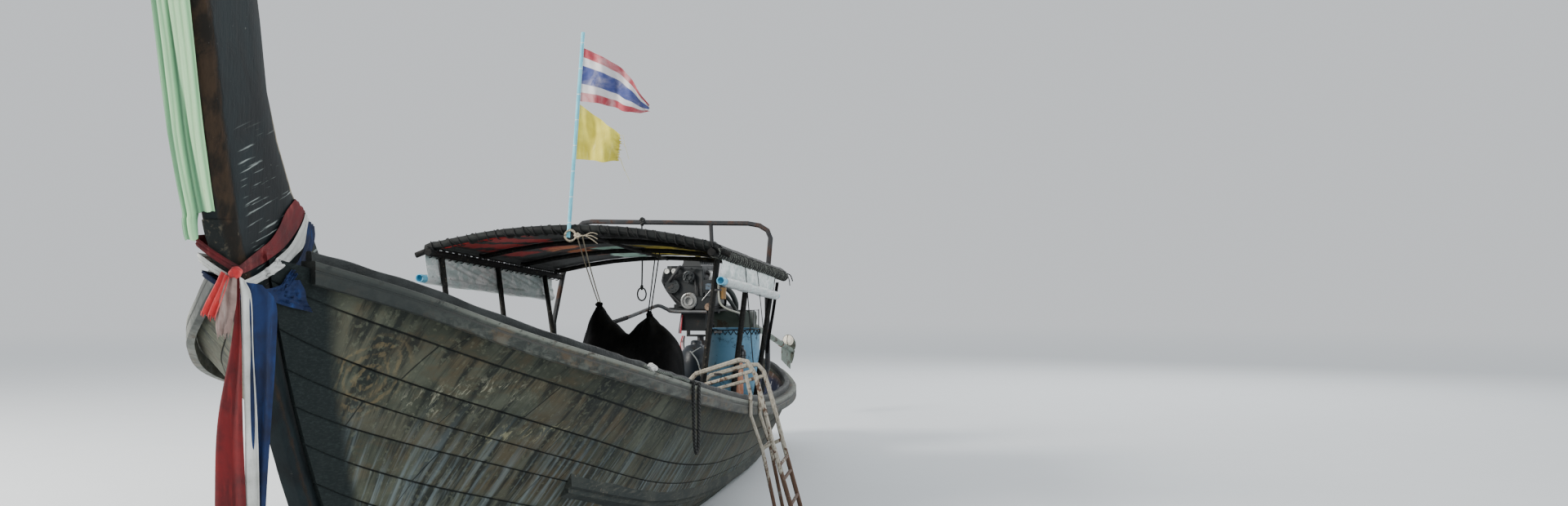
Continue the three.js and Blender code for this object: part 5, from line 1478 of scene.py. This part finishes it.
# A pulley's side: (metres ahead of the face, share of the radius). From .5 to 1 the first
# number runs on from there to the pulley's whole reach.
PULLEY = np.array([(.016, .2), (.016, .88), (.020, .98), (.026, 1), (.030, .84), (.034, .84), (.038, 1),
    (.9, 1), (.96, .95), (.97, .80), (.80, .74), (.80, .60), (.98, .57), (1.0, .50), (.97, .42), (.6, .36),
    (.55, .1)])


def pulley(y, z, r, reach):
    profile = PULLEY.copy()
    late = profile[:, 0] > .5
    profile[late, 0] = .038 + (reach - .038) * (profile[late, 0] - .5) / .5
    profile[:, 1] *= r
    return wheel(profile, y, z, 40)


plate = np.array([(-.232, 1.640), (-.262, 1.530), (-.215, 1.440), (-.100, 1.304), (.060, 1.304),
    (.118, 1.363), (.118, 1.640), (-.040, 1.655)])
outline = curve(plate, 96, closed=True) * .35 + np.stack([np.interp(np.linspace(0, 8, 96, endpoint=False),
    np.arange(9), np.append(plate[:, k], plate[0, k])) for k in (0, 1)], 1) * .65
middle = outline.mean(0)
cover_rings = [np.column_stack([np.full(96, FACE + dx), middle + (outline - middle) * k])
    for dx, k in ((.0008, 1), (.012, 1), (.0155, .975), (.0155, .90), (.0125, .88), (.0125, .5),
    (.0125, .05))]
front_parts = [lofted(np.array(cover_rings)), block((FACE + .001, .05, 1.283), (FACE + .05, .2, 1.400), .008)]
bolt_at = outline[::8] * .94 + middle * .06
front_parts += [wheel([(.012, .0062), (.020, .0062), (.022, .0050)], y, z, 6) for y, z in bolt_at]
on_engine("engine_cover", front_parts, engine_look, stands_for="engine_front_gear")
dull = metal_paint("dull dark casting", (.022, .025, .026), (.06, .035, .02), .1, .5, .4, (.055, .06, .062))
on_engine("fan_pulley", pulley(*GEAR["fan"]), dull)
# The crank pulley is light steel: bare worn steel, lightened further as a painted highlight on the rim.
worn_steel_with_painted_highlight = metal_paint("worn steel with painted highlight", (.20, .205, .20), (.10, .07, .045), .2, .5, .36, (.40, .40, .39))
on_engine("crank_pulley", pulley(*GEAR["crank"]), worn_steel_with_painted_highlight)
y, z, r, reach = GEAR["alternator"]
on_engine("alternator", [wheel([(.010, r * .6), (.010, r * .92), (.014, r), (reach - .008, r),
    (reach - .003, r * .93), (reach - .003, r * .3), (reach, r * .25), (reach, r * .1)], y, z, 40),
    *[block((FACE + reach - .004, y - .004 + .042 * math.cos(a), z - .004 + .042 * math.sin(a)),
    (FACE + reach + .001, y + .004 + .042 * math.cos(a), z + .004 + .042 * math.sin(a)), .002)
    for a in np.arange(8) * math.pi / 4]], dull)
blades = []
for a in np.linspace(0, 2 * np.pi, 7)[:-1]:
    reach_out = np.linspace(.022, .049, 6)[:, None]
    sweep = np.linspace(-.42, .42, 7)[None] + reach_out * 5
    x = FACE + .046 + .011 * np.linspace(-1, 1, 7)[None] * np.ones((6, 1))
    grid = np.stack([x, GEAR["fan"][0] + reach_out * np.cos(a + sweep),
        GEAR["fan"][1] + reach_out * np.sin(a + sweep)], -1)
    blades.append(slab(grid, grid + np.array([.0016, 0, 0])))
on_engine("fan_blades", blades, dull)

# The belt: round each wheel where that wheel lies furthest out, and straight between them.
wheels = np.array([GEAR[k][:3] for k in ("crank", "fan", "alternator")])
a = np.linspace(0, 2 * np.pi, 160, endpoint=False)
way = np.column_stack([np.cos(a), np.sin(a)])
reach_of = wheels[:, :2] @ way.T + wheels[:, 2:3] * .97
furthest = reach_of.argmax(0)
centre, radius = wheels[furthest, :2], wheels[furthest, 2] * .97
belt = [np.column_stack([np.full(160, FACE + x), centre + way * (radius + d)[:, None]])
    for x, d in ((.026, -.006), (.024, .003), (.037, .003), (.035, -.006))]
belt_ring = np.array(belt).transpose(1, 0, 2)
on_engine("belt", shape(belt_ring.reshape(-1, 3), quads(161, 4, True) % 640), black_look)
cap_look = metal_paint("tan cap", (.20, .13, .085), (.1, .05, .03), .3, 0, .5, (.28, .2, .14))
pale_look = metal_paint("white plastic", (.72, .72, .68), (.3, .25, .2), .2, 0, .5, (.55, .55, .5))
y, z, r, reach = GEAR["oil_cap"]
on_engine("oil_cap", wheel([(.018, r * .7), (.02, r), (reach - .006, r), (reach, r * .86),
    (reach - .003, r * .5), (reach - .003, r * .1)], y, z, 24), cap_look)
rings = []
for k in ("filler_outer", "filler_inner"):
    y, z, r, reach = GEAR[k]
    rings.append(wheel([(.012, r * .8), (.014, r), (reach - .004, r), (reach, r * .9), (reach, r * .62),
        (reach - .006, r * .55), (reach - .006, r * .1)], y, z, 24))
on_engine("filler_caps", rings, pale_look)

# %% [markdown]
# ## Engine sides
# Injection pipes, hoses and cables run over the castings, each a tube on a curve through a
# few points. Three wires go on down into the hull. The joints lie between, so each is in two
# pieces: the upper one moves with the engine, and the lower one stays.

# %% Engine sides
side_parts = [block((-3.99 + k * .135, -.107, 1.567), (-3.90 + k * .135, .102, 1.655), .008)
    for k in range(4)]
for k in range(9):
    x = -3.945 + k * .055
    side_parts.append(block((x, -.083, 1.6585), (x + .014, .083, 1.7415), .006))
side_parts.append(turned([(0, .024), (.012, .026), (.02, .026), (.026, .018)], (-3.60, .02, 1.735), sides=18))
side_parts += [block((-3.97 + k * .12, -.142, 1.33), (-3.935 + k * .12, -.128, 1.54), .004) for k in range(4)]
on_engine("engine_castings", side_parts, engine_look)
pipes = [cable([(-3.47 - k * .018, .16, 1.542), (-3.48 - k * .02, .17, 1.60), (-3.52 - k * .06, .13, 1.625),
    (-3.56 - k * .105, .10, 1.60)], 26, .0035, 7) for k in range(4)]
on_engine("injection_pipes", pipes, bright_look, sharp=80)
hoses = [
    cable([(-3.435, -.07, 1.64), (-3.40, -.09, 1.655), (-3.37, -.12, 1.60), (-3.385, -.17, 1.54),
        (-3.44, -.19, 1.52)], 34, .014, 12),
    cable([(-3.50, .21, 1.50), (-3.52, .26, 1.45), (-3.60, .27, 1.36), (-3.72, .22, 1.30),
        (-3.80, .15, 1.29)], 34, .012, 12),
    cable([(-3.60, .10, 1.60), (-3.58, .16, 1.57), (-3.62, .205, 1.49)], 20, .010, 10),
]
on_engine("engine_hoses", hoses, black_look, sharp=80)
tan_hose_look = metal_paint("pale hose", (.30, .31, .26), (.15, .12, .08), .3, 0, .55, (.42, .42, .36))
on_engine("pale_hose", cable([(-3.43, .20, 1.53), (-3.42, .235, 1.535), (-3.415, .256, 1.479),
    (-3.415, .262, 1.40), (-3.42, .275, 1.337), (-3.44, .321, 1.295), (-3.50, .395, 1.262),
    (-3.62, .43, 1.235), (-3.86, .36, 1.215)], 60, .0085, 10), tan_hose_look, sharp=80)
orange_look = metal_paint("amber filter", (.20, .11, .035), (.1, .05, .02), .3, 0, .35, (.3, .17, .06))
on_engine("amber_filter", turned([(0, .016), (.003, .027), (.075, .028), (.082, .031), (.100, .031),
    (.104, .02)], (-3.45, .288, 1.375), sides=24), orange_look)
on_engine("filter_bracket", block((-3.475, .175, 1.475), (-3.425, .315, 1.481), .002), dull)
green_tank = metal_paint("dark green tank", (.020, .032, .024), (.05, .04, .025), .5, 0, .6,
    (.045, .06, .045))


def eased(wave):
    """A sine drawn towards a square wave, for a box with round corners."""
    return np.abs(wave)**.5 * np.sign(wave)


tank_a = np.linspace(0, 2 * np.pi, 48, endpoint=False)
tank_rings = []
for z, grow in ((1.045, .82), (1.05, .93), (1.065, 1), (1.13, 1.02), (1.20, 1.0), (1.245, .97), (1.2555, .9),
    (1.2565, .7)):
    lump = 1 + .03 * np.sin(tank_a * 5 + z * 40)
    tank_rings.append(np.column_stack([-4.095 + .155 * grow * eased(np.cos(tank_a)) * lump,
        .205 + .205 * grow * eased(np.sin(tank_a)) * lump, np.full(48, z)]))
on_engine("rear_tank", lofted(np.array(tank_rings)), green_tank, sharp=60)
straps = [block((x, -.008, 1.0425), (x + .03, .428, 1.0455), .001) for x in (-4.19, -4.02)]
straps += [block((x, y, 1.0425), (x + .03, y + .004, 1.268), .001) for x in (-4.19, -4.02)
    for y in (-.010, .424)]
straps += [block((x, -.008, 1.2575), (x + .03, .428, 1.2610), .001) for x in (-4.19, -4.02)]
on_engine("tank_straps", straps, dull)
fat = [
    cable([(-3.56, .19, 1.50), (-3.60, .25, 1.49), (-3.70, .30, 1.42), (-3.84, .30, 1.33),
        (-3.95, .27, 1.262)], 44, .024, 14),
    cable([(-3.52, .20, 1.45), (-3.54, .27, 1.42), (-3.60, .33, 1.33), (-3.72, .35, 1.24), (-3.90, .34, 1.20),
        (-3.95, .33, 1.18)], 50, .017, 12),
]
on_engine("rear_hoses", fat, metal_paint("dark hose", (.010, .014, .013), (.03, .03, .02), .2, 0, .6,
    (.03, .04, .036)), sharp=80)
blue_box = metal_paint("blue grey box", (.05, .08, .11), (.04, .03, .02), .3, 0, .5, (.09, .12, .15))
on_engine("pump_box_blue", block((-3.408, .150, 1.455), (-3.375, .205, 1.512), .006), blue_box)
beige = metal_paint("beige box", (.24, .21, .16), (.1, .06, .04), .3, 0, .5, (.3, .28, .22))
on_engine("pump_box_beige", block((-3.408, .208, 1.500), (-3.372, .245, 1.552), .006), beige)
on_engine("throttle_rod", rod((-3.385, .12, 1.366), (-3.375, .245, 1.510), 12, .0045, 8), bright_look,
    sharp=80)
red_wire = metal_paint("red wire", (.50, .03, .05), (.2, .02, .02), .1, 0, .5, (.6, .2, .2))
pink_wire = metal_paint("pink wire", (.62, .30, .34), (.3, .1, .1), .1, 0, .5, (.7, .5, .5))
for k, (name, look) in enumerate((("wire_red", red_wire), ("wire_pink", pink_wire),
    ("wire_black", black_look))):
    on_engine(name, cable([(-3.478, -.085 - .006 * k, 1.235), (-3.463, -.088 - .006 * k, 1.18),
        (-3.458, -.092 - .008 * k, 1.12), (-3.475, -.100 - .008 * k, 1.074)], 24, .0052, 8), look, sharp=80)
    piece(f"{name}_low", cable([(-3.50, -.112 + .010 * k, 1.052), (-3.49, -.125 + .014 * k, .97),
        (-3.46, -.10 + .018 * k, .88), (-3.44, -.045 + .022 * k, .76), (-3.46, .03 + .022 * k, .60),
        (-3.50, .08 + .02 * k, .46)], 44, .0055, 8), look, slot="engine_metal", sharp=80)

# %% [markdown]
# ## Tiller and long tail
# The tiller is one bent pipe with a worn grip. The tail tube ends in the propeller, and a
# ball float marks it.

# %% Tiller and tail
TILLER = np.array([(.034, .156, 1.266), (.034, .05, 1.267), (.034, -.150, 1.268), (.048, -.205, 1.290),
    (.090, -.250, 1.316), (.150, -.275, 1.314), (.300, -.320, 1.282), (.520, -.430, 1.220),
    (.770, -.560, 1.165)])
tiller_path = curve(TILLER + np.array([FACE, 0, 0]), 110)
on_engine("tiller_pipe", rope_tube(tiller_path, .016, 14), metal_paint("tiller steel", (.10, .105, .11),
    (.12, .06, .035), .5, .5, .4, (.2, .2, .2)), stands_for="tiller", slot="steel_pipe", sharp=80)
grip = np.array([np.interp(s, np.linspace(0, 1, 110), tiller_path[:, k]) for s in np.linspace(.86, .985, 26)
    for k in range(3)]).reshape(26, 3)
on_engine("tiller_grip", rope_tube(grip, .0185 + .0012 * np.sin(np.linspace(0, 60, 26)), 14), black_look,
    slot="steel_pipe", sharp=80)


def tail(d, up=0):
    """A point of the tail's line, a distance behind the pivot."""
    return np.array([PIVOT_X - d, 0, 1.451 - d * math.tan(TAIL_DROP) + up])


BALL_R, TIE_R = .0597, .0605
ball_at = tail(3.470, .0898)
a, b, ball = globe(26, 36)
dent = 1 - .012 * np.abs(np.sin(b * 4)) * np.sin(a)**4
ball = ball_at + ball * (BALL_R * dent)[..., None]
on_engine("tail_float_ball", lofted(ball), wood_paint("cream float", (.45, .38, .28), (.72, .66, .54),
    (.85, .82, .72), (9, 9, 9), .4, .6, (.3, .25, .2)), stands_for="tail_float", slot="float_foam", sharp=80)
tie = np.linspace(0, 2 * np.pi, 60)
loop_one = np.column_stack([ball_at[0] + TIE_R * np.sin(tie), np.full(60, 0.),
    ball_at[2] + TIE_R * np.cos(tie)])
loop_two = np.column_stack([np.full(60, ball_at[0]), TIE_R * np.sin(tie), ball_at[2] + TIE_R * np.cos(tie)])
on_engine("float_tie", [rope_tube(loop_one, .0035, 7, (0, 1, 0)), rope_tube(loop_two, .0035, 7, (1, 0, 0))],
    dark_rope, slot="rope", sharp=80)
axis = tail(3.55) - tail(.5)
axis /= np.linalg.norm(axis)
collars = [turned([(-.014, .027), (-.012, .035), (.012, .035), (.014, .027)], tail(d), axis, 24)
    for d in (.70, 1.6, 2.5, 3.12)]
on_engine("shaft_collars", collars, metal_paint("collar steel", (.12, .13, .12), share=.8), slot="tube_paint")
print("engine and tail:", len(made))

# %% [markdown]
# ## Stern lining
# Boards line the inside of the stern above the deck: dark blue paint, worn to silver in
# patches and brown near the rail.

# %% Stern lining
def lining_paint():
    p = Paint("stern lining paint", Specular_IOR_Level=.4)
    up = p.value("up")
    blotch = p.noise((4, 4, 4), 5, .65, .5)
    chips = p.noise((14, 14, 14), 5, .72)
    colour = p.blend(p.step(blotch, .4, .66), (.006, .008, .022), (.016, .024, .055))
    colour = p.blend(p.step(up + blotch * .2, .98, 1.08), colour, (.06, .036, .022))
    worn = p.step(chips + blotch * .3, .72, .82)
    colour = p.blend(worn * .8, colour, (.30, .31, .33))
    return p.done(colour, worn * .2 + .4, chips * .6 + blotch * .4, .004)


lining_look = lining_paint()
for label, side in SIDES:
    lw, lt = np.meshgrid(np.linspace(9.2, END - .06, 70), np.linspace(.62, .985, 26), indexing="ij")
    near, far = inside(lw, lt, np.full(lt.shape, PLANK + .002)), inside(lw, lt,
        np.full(lt.shape, PLANK + .012))
    near[..., 1], far[..., 1] = np.maximum(near[..., 1], .012), np.maximum(far[..., 1], .004)
    up = (lt - .62) / .365
    piece(f"stern_lining_{label}", slab(on_side(near, side), on_side(far, side), up=up), lining_look,
        slot="deck_paint", sharp=60)
print("stern lining:", len(made))

# %% [markdown]
# ## Stern gear
# A blue drum with a laced rim, a bottle tied to it, a stub post, and small rods and straps
# by the canopy's posts.

# %% Stern gear
DRUM = np.array([-2.35, .548, .560])
drum_profile = [(0, .195), (0, .206), (.006, .2135), (.05, .2148), (.10, .2148), (.13, .2120), (.16, .2148),
    (.42, .2148), (.45, .2120), (.48, .2148), (.596, .2148), (.606, .2148), (.608, .2125), (.606, .2085),
    (.50, .2072), (.03, .2072)]
drum_look = metal_paint("blue drum", (.10, .25, .38), (.06, .13, .19), .3, 0, .5, (.16, .34, .47))
piece("drum_blue", turned(drum_profile, DRUM, sides=72), drum_look, stands_for="drum", slot="blue_plastic",
    sharp=50)
zig = np.linspace(0, 2 * np.pi, 240, endpoint=False)
up_down = np.abs(((zig / (2 * np.pi) * 30) % 1) * 2 - 1)
lace = np.column_stack([DRUM[0] + .2185 * np.cos(zig), DRUM[1] + .2185 * np.sin(zig),
    DRUM[2] + .566 + .036 * up_down])
rim = np.column_stack([DRUM[0] + .2175 * np.cos(zig), DRUM[1] + .2175 * np.sin(zig),
    DRUM[2] + .604 + .002 * np.sin(zig * 9)])
cords("drum_lacing", [rope_tube(lace, .0032, 6), rope_tube(rim, .0045, 7)], dark_rope)
BOTTLE = (-2.131, .660, .918)
piece("bottle_dark", turned([(0, .024), (.002, .031), (.07, .032), (.085, .028), (.098, .015), (.112, .013),
    (.113, .015), (.126, .015), (.128, .011)], BOTTLE, sides=26),
    metal_paint("dark plastic", (.012, .014, .018), share=0, rough=.3, pale=(.02, .03, .04)),
    slot="blue_plastic")
tie_a = np.linspace(0, 2 * np.pi, 40)
cords("bottle_string", rope_tube(np.column_stack([BOTTLE[0] + .0335 * np.cos(tie_a),
    BOTTLE[1] + .0335 * np.sin(tie_a), np.full(40, BOTTLE[2] + .05)]), .002, 6), dark_rope)
stub_look = wood_paint("pinkish stub", (.42, .17, .10), (.62, .33, .22), (.8, .7, .6), (30, 30, 6), .7, .7,
    (.8, .78, .72))
piece("stub_post", turned([(0, .037), (.004, .040), (.44, .037), (.45, .036), (.474, .034), (.480, .028)],
    (-2.09, .640, .4304), sides=20), stub_look, slot="inner_wood")
piece("stub_post_cap", turned([(0, .030), (.004, .037), (.018, .037), (.024, .030)], (-2.09, .640, .9105),
    sides=20), pale_look, slot="inner_wood")
grey_pipe = metal_paint("pale conduit", (.46, .48, .46), (.2, .15, .1), .2, 0, .5, (.3, .33, .32))
CAN = (-3.27, .060, .4575)
can_look = metal_paint("blue black can", (.006, .010, .016), (.02, .02, .02), .2, 0, .4, (.012, .022, .034))
piece("fuel_can", turned([(0, .128), (.004, .142), (.012, .148), (.12, .150), (.13, .146), (.14, .150),
    (.38, .150), (.40, .147), (.47, .128), (.52, .085), (.53, .050), (.535, .046), (.560, .046), (.564, .040),
    (.564, .02)], CAN, sides=40), can_look, slot="blue_plastic")
piece("can_rod", [cable([(-3.122, .035, .94), (-3.115, .06, .915), (-3.108, .10, .86), (-3.106, .13, .76),
    (-3.11, .15, .62), (-3.13, .16, .459)], 40, .0055, 8), rod((-3.115, .05, .925), (-3.09, .135, .975), 8,
    .0045, 8)], grey_pipe, slot="steel_pipe", sharp=80)
eye_line = [rod((-.6, .952, 1.690), (-.6, 1.010, .985), 10, .0035, 7),
    rod((-1.1, .952, 1.660), (-1.08, 1.030, .93), 10, .0030, 7)]
cords("eave_stay_lines", eye_line, dark_rope)
bands = [turned([(0, .026), (.012, .026)], (.25, .923, z), sides=16) for z in (1.52, 1.25, .98)]
piece("post_bands", bands, black_look, slot="canopy_poles")
rods = [rod((-1.9, .80, 1.585), (-1.9, .80, 1.20), 8, .004, 7),
    rod((-2.05, -.905, 1.46), (-2.05, -.905, .432), 8, .004, 7)]
strap = curve([(-2.2, .930, 1.54), (-2.2, .900, 1.33), (-2.2, .862, 1.10), (-2.2, .846, .98)], 40)
wide = np.array([0, .012, 0])
strap_grid = np.stack([strap - wide, strap - wide * .3, strap + wide * .3, strap + wide], 1)
piece("post_rods", rods, rust_look, slot="steel_pipe", sharp=80)
cloth_piece("post_strap", strap_grid, black_cloth, "hung", ["canopy_eave_lashing_port"], thick=.0012,
    slot="black_cloth")

# %% [markdown]
# ## Rope on the rail and ladder paint
# A white rope is knotted over the port rail and runs aft along it. The ladder's white paint
# has worn to rust in spots, most of all low down, and darkens near the water.

# %% Rope on the rail
rail_x = np.linspace(2.86, 2.125, 40)
ry, rz = cap_edge(rail_x)
lay_rope = np.column_stack([rail_x, ry - .020 + .008 * np.sin(rail_x * 18),
    rz + .0125 + .003 * np.sin(rail_x * 31)])
knots = []
for k, x in enumerate((2.79, 2.745, 2.695, 2.65)):
    ky, kz = cap_edge(x)
    knots.append(knot_part((x, ky - .012 * (k - 1) - .018, kz + .019), (.029, .020, .018), 11 + k))
cords("rail_rope_knots", knots, white_rope)
grey_rope = rope_paint("grey green rope", (.045, .052, .045), (.15, .165, .145))
cords("rail_rope_grey", rope_tube(lay_rope, .0085, 10), grey_rope)


def ladder_paint():
    """Worn white tube paint that rusts, most of all near the water."""
    p = Paint("worn white tube paint")
    z = p.axis(2)
    bloom = p.noise((16, 16, 9), 5, .7, .5)
    fine = p.noise((80, 80, 40), 4, .65)
    bad = p.step(bloom + p.step(z, .60, .25) * .2 + fine * .2, .64, .72)
    white = p.blend(p.step(fine, .4, .7), (.38, .35, .285), (.20, .175, .135))
    rust = p.blend(fine, (.045, .024, .014), (.12, .06, .034))
    white = p.blend(p.step(z, .40, .22) * .85, white, (.06, .055, .045))
    return p.done(p.blend(bad, white, rust), bad * .35 + .45, fine * bad + bloom * .2, .0016)


finish("ladder", ladder_paint())
print("all pieces:", len(made))
